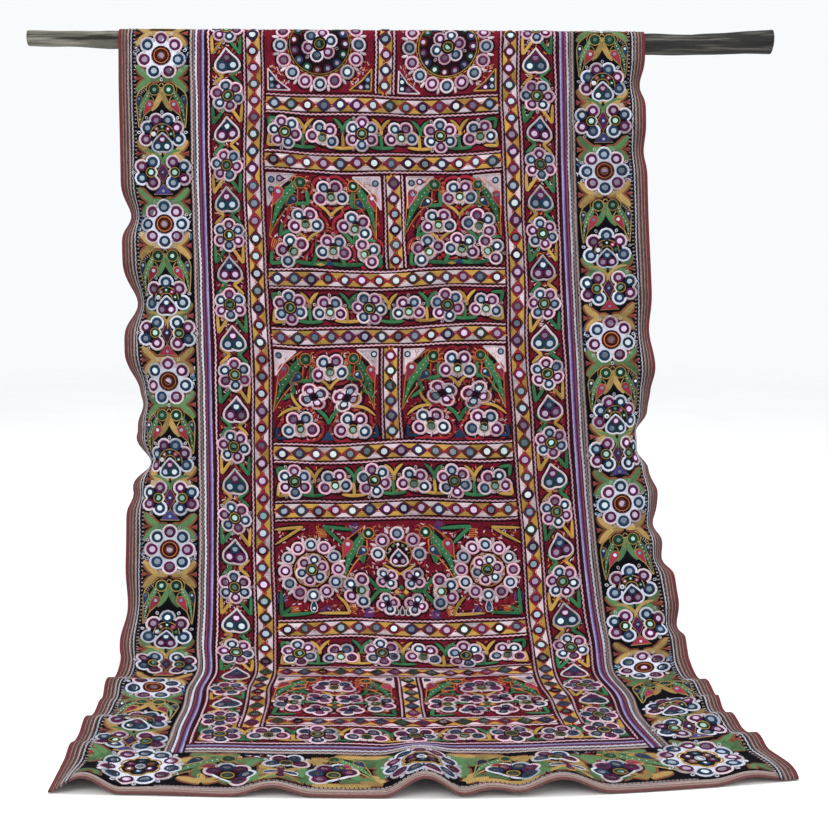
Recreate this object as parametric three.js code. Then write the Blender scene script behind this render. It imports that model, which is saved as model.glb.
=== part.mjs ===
// An embroidered, mirror-worked wall hanging thrown over a rough wooden pole.
// The front falls in a slack curve to the floor and runs out along it.
// A shorter end hangs behind the pole.
// Millimetres, +Z up, +X to the viewer's right, +Y away from the viewer.
// The origin is on the pole's axis at the middle of its length.
import * as THREE from "three";

// Pole
const POLE_HEIGHT = 1230; // axis above the floor
const POLE_SIDES = 20;
// x: place along the pole, radius: half its thickness, rise: height of its middle above the X axis
const POLE_STATIONS = [
  { x: -782, radius: 15.5, rise: 8 },
  { x: -700, radius: 16, rise: 7 },
  { x: -604, radius: 19, rise: 5 },
  { x: 0, radius: 20.8, rise: 0 },
  { x: 522, radius: 22.4, rise: -4.3 },
  { x: 612, radius: 20, rise: -6 },
  { x: 690, radius: 22, rise: -2.5 },
  { x: 782, radius: 25, rise: 1 },
];

// Cloth. Across is measured from its middle line, and along from the crest over the pole to the front hem.
const THICKNESS = 2.4;
const SEAM_GAP = 0.3; // between neighbouring pieces
const POLE_CLEARANCE = 0.6; // from the pole to the cloth's underside
const FIELD_HALF = 368; // half the width of the embroidered middle panel
const TAPE_WIDTH = 34; // striped tape round the middle panel
const BORDER_WIDTH = 117; // dark embroidered border round the tape
const BINDING_WIDTH = 31; // striped edge strip round the border
const HEM_BINDING_WIDTH = 21; // it is narrower along the two hems, and the border there is wider
const HEM_BORDER_WIDTH = BORDER_WIDTH + BINDING_WIDTH - HEM_BINDING_WIDTH;
const HALF_WIDTH = FIELD_HALF + TAPE_WIDTH + BORDER_WIDTH + BINDING_WIDTH;
const FRONT_LENGTH = 1910; // crest to front hem
const BACK_LENGTH = 374; // crest to the hem behind the pole
const FRAME_WIDTH = TAPE_WIDTH + BORDER_WIDTH + BINDING_WIDTH;

// Hang
const CLOTH_MIDDLE_X = -38; // the cloth's middle line where it crosses the pole
const SLACK = 144; // the hanging curve's parameter: horizontal pull over weight per length
const DRIFT = 86; // how far the front hem's middle lies to the right of the crest's
const DRIFT_POWER = 1.6;
const TRAIL = { left: 18, right: 62 }; // how far the front corners lag behind the hem's middle

// Sideways turns of the long edges.
// along: middle of the turn, half: half its length, turn: degrees that the edge turns away,
// width: how much of the cloth turns
const EDGE_TURNS = {
  left: [
    { along: -250, half: 110, turn: 24, width: 120 },
    { along: 400, half: 65, turn: 42, width: 120 },
    { along: 584, half: 85, turn: 54, width: 120 },
    { along: 738, half: 45, turn: 30, width: 120 },
    { along: 785, half: 62, turn: 58, width: 120 },
    { along: 850, half: 75, turn: 48, width: 120 },
    { along: 920, half: 58, turn: 78, width: 120 },
    { along: 985, half: 55, turn: 34, width: 120 },
    { along: 1220, half: 90, turn: 26, width: 110 },
    { along: 1365, half: 62, turn: -20, width: 110 },
  ],
  right: [
    { along: -220, half: 120, turn: 28, width: 120 },
    { along: 126, half: 60, turn: 40, width: 90 },
    { along: 272, half: 60, turn: 22, width: 110 },
    { along: 663, half: 90, turn: 28, width: 110 },
    { along: 795, half: 60, turn: 34, width: 120 },
    { along: 850, half: 60, turn: 46, width: 120 },
    { along: 895, half: 62, turn: 66, width: 120 },
    { along: 945, half: 65, turn: 54, width: 120 },
    { along: 1000, half: 60, turn: 34, width: 120 },
    { along: 1072, half: 75, turn: 58, width: 120 },
    { along: 1145, half: 50, turn: 44, width: 120 },
    { along: 1286, half: 45, turn: 32, width: 110 },
    { along: 1400, half: 70, turn: -20, width: 110 },
  ],
};

// Where the cloth is drawn in towards its middle line, as a share of its width.
// A negative share spreads it.
const GATHERS = {
  left: [
    { along: 1390, half: 100, share: 0.022 },
    { along: 1560, half: 120, share: 0.014 },
  ],
  right: [
    { along: 1430, half: 130, share: 0.026 },
    { along: 1640, half: 160, share: 0.03 },
    { along: 1868, half: 80, share: -0.022 },
  ],
};

// Shallow swells of the hanging face: middle, half sizes, and depth towards the viewer
const SWELLS = [
  { across: -300, along: 330, halfAcross: 210, halfAlong: 300, depth: 9 },
  { across: 120, along: 420, halfAcross: 190, halfAlong: 330, depth: -7 },
  { across: 330, along: 700, halfAcross: 200, halfAlong: 300, depth: 10 },
  { across: -160, along: 820, halfAcross: 200, halfAlong: 320, depth: -8 },
  { across: 60, along: 1010, halfAcross: 200, halfAlong: 260, depth: 8 },
  { across: -330, along: 1120, halfAcross: 170, halfAlong: 220, depth: 9 },
  { across: 60, along: -230, halfAcross: 260, halfAlong: 170, depth: 6 },
];

// Low ripples across the long edges where the cloth lies on the floor
const FLOOR_RIPPLES = {
  left: [
    { along: 1462, half: 44, height: 12, width: 140 },
    { along: 1560, half: 40, height: 7, width: 110 },
    { along: 1648, half: 44, height: 12, width: 150 },
    { along: 1760, half: 44, height: 9, width: 120 },
  ],
  right: [
    { along: 1500, half: 40, height: 11, width: 130 },
    { along: 1585, half: 38, height: 10, width: 140 },
    { along: 1672, half: 40, height: 12, width: 150 },
    { along: 1758, half: 40, height: 12, width: 140 },
  ],
};

// Ridges that run back from the front hem
const HEM_RIDGES = [
  { across: -500, half: 55, height: 24, length: 120 },
  { across: -224, half: 60, height: 13, length: 150 },
  { across: 0, half: 62, height: 29, length: 250 },
  { across: 95, half: 60, height: 12, length: 150 },
  { across: 195, half: 75, height: 22, length: 190 },
  { across: 478, half: 60, height: 10, length: 120 },
];

// How finely the cloth is faceted
const FIELD_STEPS = 14;
const BORDER_STEPS = 4;
const BINDING_STEPS = 2;
const TURN_STEPS = 14; // steps used to add up an edge's turn
const BACK_STEP = 40;
const FRONT_STEP = 30;
const CREST_STEPS = 10;

// Colours and finish
const MATERIALS = {
  wood: { color: 0x5c5348, roughness: 0.85, metalness: 0 },
  field: { color: 0x7a1426, roughness: 0.9, metalness: 0 },
  tape: { color: 0x6a4a86, roughness: 0.85, metalness: 0 },
  border: { color: 0x17151c, roughness: 0.9, metalness: 0 },
  binding: { color: 0x7d5a50, roughness: 0.9, metalness: 0 },
};

// Smooth helpers
const bell = (u) => (Math.abs(u) < 1 ? Math.cos((u * Math.PI) / 2) ** 2 : 0);
const ramp = (u) => {
  const t = Math.min(1, Math.max(0, u));
  return t * t * (3 - 2 * t);
};
const sideOf = (across) => (across < 0 ? "left" : "right");

// The pole's radius or rise at a place along it
function poleAt(x, column) {
  const last = POLE_STATIONS.length - 1;
  let i = 0;
  while (i < last - 1 && x > POLE_STATIONS[i + 1].x) i += 1;
  const from = POLE_STATIONS[i];
  const to = POLE_STATIONS[i + 1];
  return THREE.MathUtils.mapLinear(x, from.x, to.x, from[column], to[column]);
}

// The hanging curve for a crest of this radius: where it leaves the pole, its length and its reach
function hangingCurve(radius) {
  const reachDown = POLE_HEIGHT - THICKNESS / 2 + SLACK;
  const tension = (reachDown + Math.sqrt(reachDown ** 2 + 4 * radius * SLACK)) / 2;
  const length = Math.sqrt(tension ** 2 - SLACK ** 2);
  const leaveAngle = Math.atan2(length, SLACK);
  const reach = radius * Math.sin(leaveAngle) + SLACK * Math.asinh(length / SLACK);
  return { length, leaveAngle, reach };
}

// The cloth's middle line in side view: forward is towards the viewer, and the slope angle gives its normal
function sideView(along, radius) {
  const { length, leaveAngle, reach } = hangingCurve(radius);
  if (along < (-radius * Math.PI) / 2) {
    return { forward: -radius, up: along + (radius * Math.PI) / 2, slope: -Math.PI / 2 };
  }
  if (along < radius * leaveAngle) {
    const slope = along / radius;
    return { forward: radius * Math.sin(slope), up: radius * Math.cos(slope), slope };
  }
  const floor = THICKNESS / 2 - POLE_HEIGHT;
  const left = length - (along - radius * leaveAngle);
  if (left < 0) return { forward: reach - left, up: floor, slope: 0 };
  return {
    forward: reach - SLACK * Math.asinh(left / SLACK),
    up: floor + Math.hypot(left, SLACK) - SLACK,
    slope: Math.atan2(left, SLACK),
  };
}

// How far the cloth's long edge is turned away from the viewer, in radians
function edgeTurn(side, distance, along) {
  let degrees = 0;
  for (const fold of EDGE_TURNS[side]) {
    const inward = (distance - (HALF_WIDTH - fold.width)) / fold.width;
    degrees += fold.turn * bell((along - fold.along) / fold.half) * ramp(inward);
  }
  return THREE.MathUtils.degToRad(degrees);
}

// The sideways and backward reach of the cloth from its middle line to this place, along its turned section
function turnedReach(across, along) {
  const side = sideOf(across);
  const widest = Math.max(...EDGE_TURNS[side].map((fold) => fold.width));
  const start = HALF_WIDTH - widest;
  const beyond = Math.abs(across) - start;
  if (beyond <= 0) return { sideways: across, backward: 0 };
  const step = beyond / TURN_STEPS;
  let sideways = start;
  let backward = 0;
  for (let i = 0; i < TURN_STEPS; i += 1) {
    const angle = edgeTurn(side, start + (i + 0.5) * step, along);
    sideways += Math.cos(angle) * step;
    backward += Math.sin(angle) * step;
  }
  return { sideways: Math.sign(across) * sideways, backward };
}

// How far the cloth stands off its side view by swells, floor ripples and hem ridges
function standOff(across, along) {
  let off = 0;
  for (const swell of SWELLS) {
    const wide = bell((across - swell.across) / swell.halfAcross);
    off += swell.depth * wide * bell((along - swell.along) / swell.halfAlong);
  }
  for (const ripple of FLOOR_RIPPLES[sideOf(across)]) {
    const inward = (Math.abs(across) - (HALF_WIDTH - ripple.width)) / ripple.width;
    off += ripple.height * bell((along - ripple.along) / ripple.half) * ramp(inward);
  }
  for (const ridge of HEM_RIDGES) {
    const outward = (along - (FRONT_LENGTH - ridge.length)) / ridge.length;
    off += ridge.height * bell((across - ridge.across) / ridge.half) * ramp(outward);
  }
  return off;
}

// The share of its width that the cloth keeps where it is gathered
function keptWidth(side, along) {
  let kept = 1;
  for (const gather of GATHERS[side]) kept -= gather.share * bell((along - gather.along) / gather.half);
  return kept;
}

// A point of the cloth's middle surface
function drape(across, along) {
  const { sideways, backward } = turnedReach(across, along);
  const down = Math.max(0, along) / FRONT_LENGTH;
  const x = CLOTH_MIDDLE_X + DRIFT * down ** DRIFT_POWER + sideways * keptWidth(sideOf(across), along);
  const lag = TRAIL[sideOf(across)] * (across / HALF_WIDTH) ** 2 * down;
  const radius = poleAt(x, "radius") + POLE_CLEARANCE + THICKNESS / 2;
  const { forward, up, slope } = sideView(along - lag, radius);
  const off = standOff(across, along) - backward;
  const rise = poleAt(x, "rise") * (1 - ramp(down));
  return new THREE.Vector3(
    x,
    -forward - off * Math.sin(slope),
    up + rise * Math.min(1, (up + POLE_HEIGHT) / POLE_HEIGHT) + off * Math.cos(slope),
  );
}

// The cloth's outward normal, on the embroidered face
function drapeNormal(across, along) {
  const step = 0.5;
  const acrossStep = drape(across + step, along).sub(drape(across - step, along));
  const alongStep = drape(across, along + step).sub(drape(across, along - step));
  return alongStep.cross(acrossStep).normalize();
}

// Evenly spaced values from start to end
const evenly = (start, end, steps) =>
  Array.from({ length: steps + 1 }, (_, i) => start + ((end - start) * i) / steps);

// Values through a row of stops, after the first one, in even steps of about this length
function stepped(stops, length) {
  const stretch = (end, i) => evenly(stops[i], end, Math.max(1, Math.round((end - stops[i]) / length)));
  return stops.slice(1).flatMap((end, i) => stretch(end, i).slice(1));
}

// The lines on which every piece of the cloth is faceted, so that neighbours share their facets
function clothLines() {
  const tapeEdge = FIELD_HALF + TAPE_WIDTH;
  const borderEdge = tapeEdge + BORDER_WIDTH;
  const outer = [
    ...evenly(tapeEdge, borderEdge, BORDER_STEPS),
    ...evenly(borderEdge, HALF_WIDTH, BINDING_STEPS).slice(1),
  ];
  const across = [
    ...outer.map((value) => -value),
    ...evenly(-FIELD_HALF, FIELD_HALF, FIELD_STEPS),
    ...outer,
  ];
  const crest = (poleAt(CLOTH_MIDDLE_X, "radius") + POLE_CLEARANCE + THICKNESS / 2) * (Math.PI / 2);
  const hemSeams = [0, HEM_BINDING_WIDTH, HEM_BINDING_WIDTH + HEM_BORDER_WIDTH, FRAME_WIDTH];
  const backSeams = hemSeams.map((inward) => inward - BACK_LENGTH);
  const frontSeams = hemSeams.map((inward) => FRONT_LENGTH - inward).reverse();
  const along = [
    -BACK_LENGTH,
    ...stepped([...backSeams, -crest], BACK_STEP),
    ...evenly(-crest, crest, CREST_STEPS).slice(1),
    ...stepped([crest, ...frontSeams], FRONT_STEP),
  ];
  return { across: across.sort((a, b) => a - b), along };
}
const LINES = clothLines();

// The lines inside a stretch, with the stretch's own ends
function linesWithin(lines, start, end) {
  const clear = 1;
  return [start, ...lines.filter((v) => v > start + clear && v < end - clear), end];
}

// A piece of the draped cloth as one closed solid, half a seam's gap inside its cut edges
function clothSolid({ across, along }) {
  const inset = SEAM_GAP / 2;
  const columns = linesWithin(LINES.across, across[0] + inset, across[1] - inset);
  const rows = linesWithin(LINES.along, along[0] + inset, along[1] - inset);
  const positions = [];
  for (const half of [THICKNESS / 2, -THICKNESS / 2]) {
    for (const l of rows) {
      for (const a of columns) {
        const point = drape(a, l).addScaledVector(drapeNormal(a, l), half);
        positions.push(point.x, point.y, point.z);
      }
    }
  }
  const wide = columns.length;
  const layer = wide * rows.length;
  const indices = [];
  const quad = (a, b, c, d) => indices.push(a, b, c, a, c, d);
  for (let r = 0; r < rows.length - 1; r += 1) {
    for (let c = 0; c < wide - 1; c += 1) {
      const at = r * wide + c;
      quad(at, at + wide, at + wide + 1, at + 1);
      quad(layer + at, layer + at + 1, layer + at + wide + 1, layer + at + wide);
    }
  }
  const rim = [
    ...columns.map((_, c) => c),
    ...rows.slice(1).map((_, r) => (r + 1) * wide + wide - 1),
    ...columns.slice(1).map((_, c) => layer - 2 - c),
    ...rows.slice(1, -1).map((_, r) => layer - wide * (r + 2)),
  ];
  const halfway = wide + rows.length - 2;
  rim.forEach((at, i) => {
    const next = rim[(i + 1) % rim.length];
    // facing rims of two neighbours are split along the same diagonal
    if (i < halfway) quad(at, next, next + layer, at + layer);
    else quad(next, next + layer, at + layer, at);
  });
  const geometry = new THREE.BufferGeometry();
  geometry.setAttribute("position", new THREE.Float32BufferAttribute(positions, 3));
  geometry.setIndex(indices);
  geometry.computeVertexNormals();
  return geometry;
}

// The pole: rings lofted through its stations, with flat sawn ends
function poleSolid() {
  const positions = [];
  const indices = [];
  for (const { x, radius, rise } of POLE_STATIONS) {
    for (let i = 0; i < POLE_SIDES; i += 1) {
      const angle = (2 * Math.PI * i) / POLE_SIDES;
      positions.push(x, radius * Math.cos(angle), rise + radius * Math.sin(angle));
    }
  }
  const rings = POLE_STATIONS.length;
  for (let ring = 0; ring < rings - 1; ring += 1) {
    for (let i = 0; i < POLE_SIDES; i += 1) {
      const a = ring * POLE_SIDES + i;
      const b = ring * POLE_SIDES + ((i + 1) % POLE_SIDES);
      indices.push(a, b, b + POLE_SIDES, a, b + POLE_SIDES, a + POLE_SIDES);
    }
  }
  const lastRing = (rings - 1) * POLE_SIDES;
  for (let i = 1; i < POLE_SIDES - 1; i += 1) {
    indices.push(0, i + 1, i);
    indices.push(lastRing, lastRing + i, lastRing + i + 1);
  }
  const geometry = new THREE.BufferGeometry();
  geometry.setAttribute("position", new THREE.Float32BufferAttribute(positions, 3));
  geometry.setIndex(indices);
  geometry.computeVertexNormals();
  return geometry;
}

function namedMesh(name, geometry, material) {
  const mesh = new THREE.Mesh(geometry, new THREE.MeshStandardMaterial(MATERIALS[material]));
  mesh.name = name;
  return mesh;
}

// The cut pieces of the cloth: a middle panel framed by tape, border and binding.
// The long strips run the whole length of their frame, and the short ones lie between them.
function clothPieces() {
  const backEnd = -BACK_LENGTH;
  const pieces = [
    {
      name: "middle_panel",
      material: "field",
      across: [-FIELD_HALF, FIELD_HALF],
      along: [backEnd + FRAME_WIDTH, FRONT_LENGTH - FRAME_WIDTH],
    },
  ];
  const frames = [
    { name: "binding", width: BINDING_WIDTH, hemWidth: HEM_BINDING_WIDTH },
    { name: "border", width: BORDER_WIDTH, hemWidth: HEM_BORDER_WIDTH },
    { name: "tape", width: TAPE_WIDTH, hemWidth: TAPE_WIDTH },
  ];
  let beyondSide = 0;
  let beyondHem = 0;
  for (const { name, width, hemWidth } of frames) {
    const material = name;
    const outerHalf = HALF_WIDTH - beyondSide;
    const innerHalf = outerHalf - width;
    const whole = [backEnd + beyondHem, FRONT_LENGTH - beyondHem];
    const between = [-innerHalf, innerHalf];
    pieces.push(
      { name: `${name}_left`, material, across: [-outerHalf, -innerHalf], along: whole },
      { name: `${name}_right`, material, across: [innerHalf, outerHalf], along: whole },
      { name: `${name}_front`, material, across: between, along: [whole[1] - hemWidth, whole[1]] },
      { name: `${name}_back`, material, across: between, along: [whole[0], whole[0] + hemWidth] },
    );
    beyondSide += width;
    beyondHem += hemWidth;
  }
  return pieces;
}

const hanging = new THREE.Group();
hanging.name = "embroidered_hanging_over_pole";
hanging.add(namedMesh("pole", poleSolid(), "wood"));
for (const piece of clothPieces()) {
  hanging.add(namedMesh(piece.name, clothSolid(piece), piece.material));
}

export default hanging;
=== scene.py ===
"""An embroidered, mirror-worked hanging thrown over a rough wooden pole.

Sizes are in millimetres until a mesh is made. A place on the flat cloth is (across, along): across from the
middle line to the viewer's right, and along from the crest over the pole towards the front hem.
"""
import math

import bpy
import numpy as np
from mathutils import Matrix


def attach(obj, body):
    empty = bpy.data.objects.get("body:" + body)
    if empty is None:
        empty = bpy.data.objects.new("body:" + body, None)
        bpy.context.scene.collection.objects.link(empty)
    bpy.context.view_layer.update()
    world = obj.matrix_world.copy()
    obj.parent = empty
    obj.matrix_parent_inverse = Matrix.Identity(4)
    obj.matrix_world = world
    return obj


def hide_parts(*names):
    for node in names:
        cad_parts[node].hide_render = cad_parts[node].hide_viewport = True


MM = 0.001
SIDES = (-1, 1)

# Camera: place, degrees down, focal length, film width
CAMERA_PLACE = (30, -2595, -470)
CAMERA_PITCH = 7.02
CAMERA_LENS = 51.94
SENSOR_WIDTH = 36

# Studio, in metres: a pale floor that fades into the room, the room's bright side and its brightness from
# the dark side to there, and soft lamps with their place, size and power
FLOOR_HALF = 16
FLOOR_DROP = 0.0004
FLOOR_FADE = (2.2, 8)
FLOOR_TONES = ((0.3, (238, 238, 237)), (0.7, (243, 243, 242)))
ROOM_BRIGHT_SIDE = (0, 0.75, 0.66)
ROOM_LEVELS = ((0.06, 0.5), (0.2, 0.82), (0.7, 0.96))
ROOM_TINT = (0.98, 1, 1.02)
LAMP_AIM = (0, -0.3, -0.6)
LAMPS = (
    ("key", (-1.7, -3.2, 1.7), 1.8, 51),
    ("fill", (2.3, -2.8, 0.7), 2.2, 18),
    ("top", (0.1, -1.0, 3.4), 2.6, 122),
)

# Pole
POLE_HEIGHT = 1230  # axis above the floor
POLE_SIDES = 64
POLE_STEP = 8
POLE_CHAMFER = 1.6
POLE_COLUMNS = ("x", "radius", "rise")
POLE_STATIONS = np.array(
    [
        (-782, 15.5, 8),
        (-700, 16, 7),
        (-604, 19, 5),
        (0, 20.8, 0),
        (522, 22.4, -4.3),
        (612, 20, -6),
        (690, 22, -2.5),
        (782, 25, 1),
    ]
)
# Wear of the bare ends: mean depth, length over which it comes in, and its lumps and ridges: depth, wave
# along the pole, number round it, phase
POLE_WEAR = 0.7
POLE_WEAR_EASE = 30
POLE_LUMPS = ((0.5, 37, 2, 0), (0.4, 16, 3, 1), (0.25, 120, 9, 0), (0.18, -70, 17, 0))

# Cloth
THICKNESS = 2.4
SEAM_LAP = 0.12  # how far each piece runs past its seam, so that no light shows through
POLE_CLEARANCE = 0.6
FIELD_HALF = 368
TAPE_WIDTH = 34
BORDER_WIDTH = 117
BINDING_WIDTH = 31
HEM_BINDING_WIDTH = 21  # narrower along the two hems, where the border is wider
HEM_BORDER_WIDTH = BORDER_WIDTH + BINDING_WIDTH - HEM_BINDING_WIDTH
FRAME_WIDTH = TAPE_WIDTH + BORDER_WIDTH + BINDING_WIDTH
HALF_WIDTH = FIELD_HALF + FRAME_WIDTH
FRONT_LENGTH = 1910
BACK_LENGTH = 374
LATTICE_STEP = 4  # of the draped surface
SHEET_STEP = 8.6  # facets of the cloth
CREST_STEP = 3  # finer ones where it turns over the pole
CREST_REACH = 60

# Hang
CLOTH_MIDDLE_X = -38
SLACK = 144
DRIFT = 86
DRIFT_POWER = 1.6
TRAIL = {"left": 18, "right": 62}

# Sideways turns of the long edges: along, half length, degrees turned away, width of cloth that turns
EDGE_TURNS = {
    "left": (
        (-250, 110, 24, 120),
        (400, 65, 42, 120),
        (584, 85, 54, 120),
        (738, 45, 30, 120),
        (785, 62, 58, 120),
        (850, 75, 48, 120),
        (920, 58, 78, 120),
        (985, 55, 34, 120),
        (1220, 90, 26, 110),
        (1365, 62, -20, 110),
    ),
    "right": (
        (-220, 120, 28, 120),
        (126, 60, 40, 90),
        (272, 60, 22, 110),
        (663, 90, 28, 110),
        (795, 60, 34, 120),
        (850, 60, 46, 120),
        (895, 62, 66, 120),
        (945, 65, 54, 120),
        (1000, 60, 34, 120),
        (1072, 75, 58, 120),
        (1145, 50, 44, 120),
        (1286, 45, 32, 110),
        (1400, 70, -20, 110),
    ),
}
TURN_STEPS = 14

# Gathers of the width: along, half length, share of the width drawn in
GATHERS = {
    "left": ((1390, 100, 0.022), (1560, 120, 0.014)),
    "right": ((1430, 130, 0.026), (1640, 160, 0.03), (1868, 80, -0.022)),
}

# Shallow swells: across, along, half width, half length, depth towards the viewer
SWELLS = (
    (-300, 330, 210, 300, 9),
    (120, 420, 190, 330, -7),
    (330, 700, 200, 300, 10),
    (-160, 820, 200, 320, -8),
    (60, 1010, 200, 260, 8),
    (-330, 1120, 170, 220, 9),
    (60, -230, 260, 170, 6),
)

# Ripples of the edges on the floor: along, half length, height, width of cloth that ripples
FLOOR_RIPPLES = {
    "left": ((1462, 44, 12, 140), (1560, 40, 7, 110), (1648, 44, 12, 150), (1760, 44, 9, 120)),
    "right": ((1500, 40, 11, 130), (1585, 38, 10, 140), (1672, 40, 12, 150), (1758, 40, 12, 140)),
}

# Ridges that run back from the front hem: across, half width, height, length
HEM_RIDGES = (
    (-500, 55, 24, 120),
    (-224, 60, 13, 150),
    (0, 62, 29, 250),
    (95, 60, 12, 150),
    (195, 75, 22, 190),
    (478, 60, 10, 120),
)

# Fine crumples that the embroidery puts in the cloth: wave across, wave along, depth, phase
CRUMPLES = ((61, 143, 0.7, 0.4), (97, 83, 0.6, 1.9), (173, 59, 0.5, 3.1))

# Wavering of the middle panel's rows, sideways and lengthways: depth, wave across, wave along, phase
ROW_WAVER = (
    ((2.2, 190, 97, 2), (1.2, 130, 45, 0)),
    ((3, 83, 210, 0), (1.7, 41, -97, 1)),
)
WAVER_EASE = 50  # from the panel's edges, over which its rows come straight

# Layout of the middle panel
FIELD_EDGE = 244.5  # half the width of the inner field
BAND_WIDTH = 50  # mirror band with its lines
BAND_INSIDE = BAND_WIDTH - 22
BAND_LINE = 6  # from a band's edge to its wavy line
BAND_PITCH = 35
FRAME_BAND_PITCH = 36
STRIP_INNER = FIELD_EDGE + BAND_WIDTH  # flower strip round the panel
STRIP_OUTER = FIELD_HALF - 2 * BAND_LINE
STRIP_PITCH = 74
FLOWER_ROW = 70
PICTURE_PANEL = 193
PANEL_WIDTH = 250  # for which the places of a picture panel's motifs are given
ROSETTE_PANEL = 198.5
FIELD_FRONT = FRONT_LENGTH - FRAME_WIDTH
FIELD_BACK = FRAME_WIDTH - BACK_LENGTH

# Layout of the dark border
BORDER_CENTRE = FIELD_HALF + TAPE_WIDTH + BORDER_WIDTH / 2
FRONT_CORNER = FRONT_LENGTH - HEM_BINDING_WIDTH - HEM_BORDER_WIDTH / 2
BACK_CORNER = HEM_BINDING_WIDTH + HEM_BORDER_WIDTH / 2 - BACK_LENGTH
BORDER_UNIT = 350  # usual repeat from flower to flower
BORDER_FLOWERS = {
    "left": (-283, 70, 423, 753, 1104, 1477),
    "right": (-387, -37, 316, 679, 1028, 1401),
}
CORNER_CLEAR = 75  # room that a corner rosette takes along the border
CORNER_INWARD = 32  # how far it lies from the border's middle towards the other corner
CORNER_LIFT = 9  # and from the hem border's middle towards the pole

# Heights of the stitching over the cloth
UNDER = 0.5
PETAL_GROUND = 0.7
FILL = 0.9
LINE = 1.4
RING = 1.7
MIRROR = 1.15
LOW_LEAF = FILL * 0.8

# Stitched widths
PALE_WIDTH = 5.2
DARK_WIDTH = 4.6
ECHO_WIDTH = 7.5
OUTER_ECHO_WIDTH = 3.6
CORNER_LINE = 3.6
FINE_LINE = 2.4
LEAF_WIDTH = 9.8
LEAF_EDGE = 6  # dark edges of a leaf, both together
LEAF_TAPER = np.array([0.8, 0.96, 1, 1, 1, 0.94, 0.74, 0.3])
TUCK = 0.42  # share of a ring's width that lies outside the edge it covers

# Stitches and lines
STITCH_LENGTH = 3.2
STITCH_ROW = 3.2
UV_SCALE = 0.01  # texture units in a millimetre
FACET = 9  # longest step across a filled shape, so that it follows the cloth
FILL_DOME = 0.1
MIRROR_TILT = 0.06
MIRROR_DOME = 0.03
MIRROR_INNER = 0.55  # share of a mirror's radius at its inner facets
WAVE_PITCH = 10.5
WAVE_HEIGHT = 0.9
EDGING_PITCH = 9.5
BAR_STEP = 12  # facets of the straight lines

# Sections of a thick line, a thin one and a filled strip: places across it, and heights there
ROPE = (np.array([-1, -0.45, 0.45, 1]), np.array([-0.15, 1, 1, -0.15]))
CORD = (np.array([-1, 0, 1]), np.array([-0.15, 1, -0.15]))
STRIP = (np.array([0, 0.1, 0.5, 0.9, 1]), np.array([-0.15, 1, 1.05, 1, -0.15]))

# Thread colours as shown on screen, with the kind of thread that each belongs to
THREADS = {
    "pale": ((202, 186, 192), "pale_thread"),
    "frost": ((200, 204, 216), "pale_thread"),
    "pink": ((212, 174, 188), "pale_thread"),
    "ash": ((170, 154, 152), "pale_thread"),
    "dark": ((26, 5, 14), "dark_thread"),
    "black": ((10, 9, 14), "dark_thread"),
    "maroon": ((84, 29, 28), "dark_thread"),
    "red": ((138, 33, 47), "red_thread"),
    "rose": ((148, 48, 70), "red_thread"),
    "plum": ((81, 27, 67), "plum_thread"),
    "blue": ((29, 54, 81), "blue_thread"),
    "indigo": ((66, 62, 120), "blue_thread"),
    "sky": ((66, 132, 166), "blue_thread"),
    "green": ((50, 106, 68), "green_thread"),
    "bottle": ((20, 66, 46), "green_thread"),
    "leaf": ((84, 121, 79), "green_thread"),
    "ochre": ((176, 139, 70), "ochre_thread"),
    "straw": ((164, 138, 83), "ochre_thread"),
    "orange": ((197, 119, 64), "orange_thread"),
    "rust": ((121, 74, 52), "orange_thread"),
    "lilac": ((160, 146, 186), "striped_tape"),
}
RINGS = ("blue", "plum")
OUTLINES = {"pale": ("pale", "pink"), "frost": ("frost", "pale")}  # round blue and round plum petals
# Rings whose mirrors get a plum tint painted in as the ring's reflection
WARM_RINGS = ("plum", "red", "rust")
WHEEL_DOTS = ("plum", "blue", "bottle", "maroon")
ARCH_DOTS = ("frost", "rust", "bottle", "rose", "bottle")
CORNER_DOTS = ("blue", "plum", "rust")
LENS_COLOURS = ("red", "maroon", "red", "plum")
LENS_RINGS = ("plum", "blue", "dark", "bottle")
SPECKS = ("orange", "red", "rust", "dark")

# Old mirror glass; the plum and green kinds have the colour of the stitching round them painted in as its
# reflection
GLASS = {
    "glass": (172, 188, 206),
    "plum_reflection_glass": (178, 158, 182),
    "green_reflection_glass": (154, 188, 170),
}

# Outlines of small motifs: a loop and a tongue between petals, half a spade below its tip, half a drop
PICOT = ((0, 0), (2.4, 4), (0, 7.4), (-2.4, 4))
PICOT_REACH = 0.85  # share of a petal at which it stands
SPROUT = ((0, -2), (0, 3), (0, 8), (0, 12))
SPROUT_WIDTHS = (3.4, 7, 6.4, 2)
HALF_SPADE = ((8.5, 13), (20, -1), (21, -14), (11, -21.5), (0, -20.6))
HALF_DROP = ((0, 1), (0.18, 0.5), (0.29, 0.1), (0.21, -0.24), (0, -0.34))
DROP_ROUND = 0.25  # share of a drop's length from its round end to its middle
SEED_STITCH = ((-3.4, 0), (0, 0.6), (3.4, 0))
FAN_ENDS = 47  # degrees by which the outline of a fan reaches on past its end petals
ARCH_ENDS = 64

# Mirrors of a filled corner: shares of its width and height, turn of the triangle behind
CORNER_EYES = ((0.17, 0.19, None), (0.47, 0.15, -90), (0.16, 0.5, 0))

# Parrots: shape, colours of the body, its ground and its outline, of the back and the breast wing, and
# where across the body its green starts
PARROTS = {
    "field": ("slender", "green", "dark", "orange", ("rose", "blue"), 0.24),
    "border": ("stocky", "leaf", "black", "straw", ("blue", "rose"), 0.32),
    "hem": ("slender", "leaf", "black", "straw", ("blue", "rose"), 0.24),
}

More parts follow.
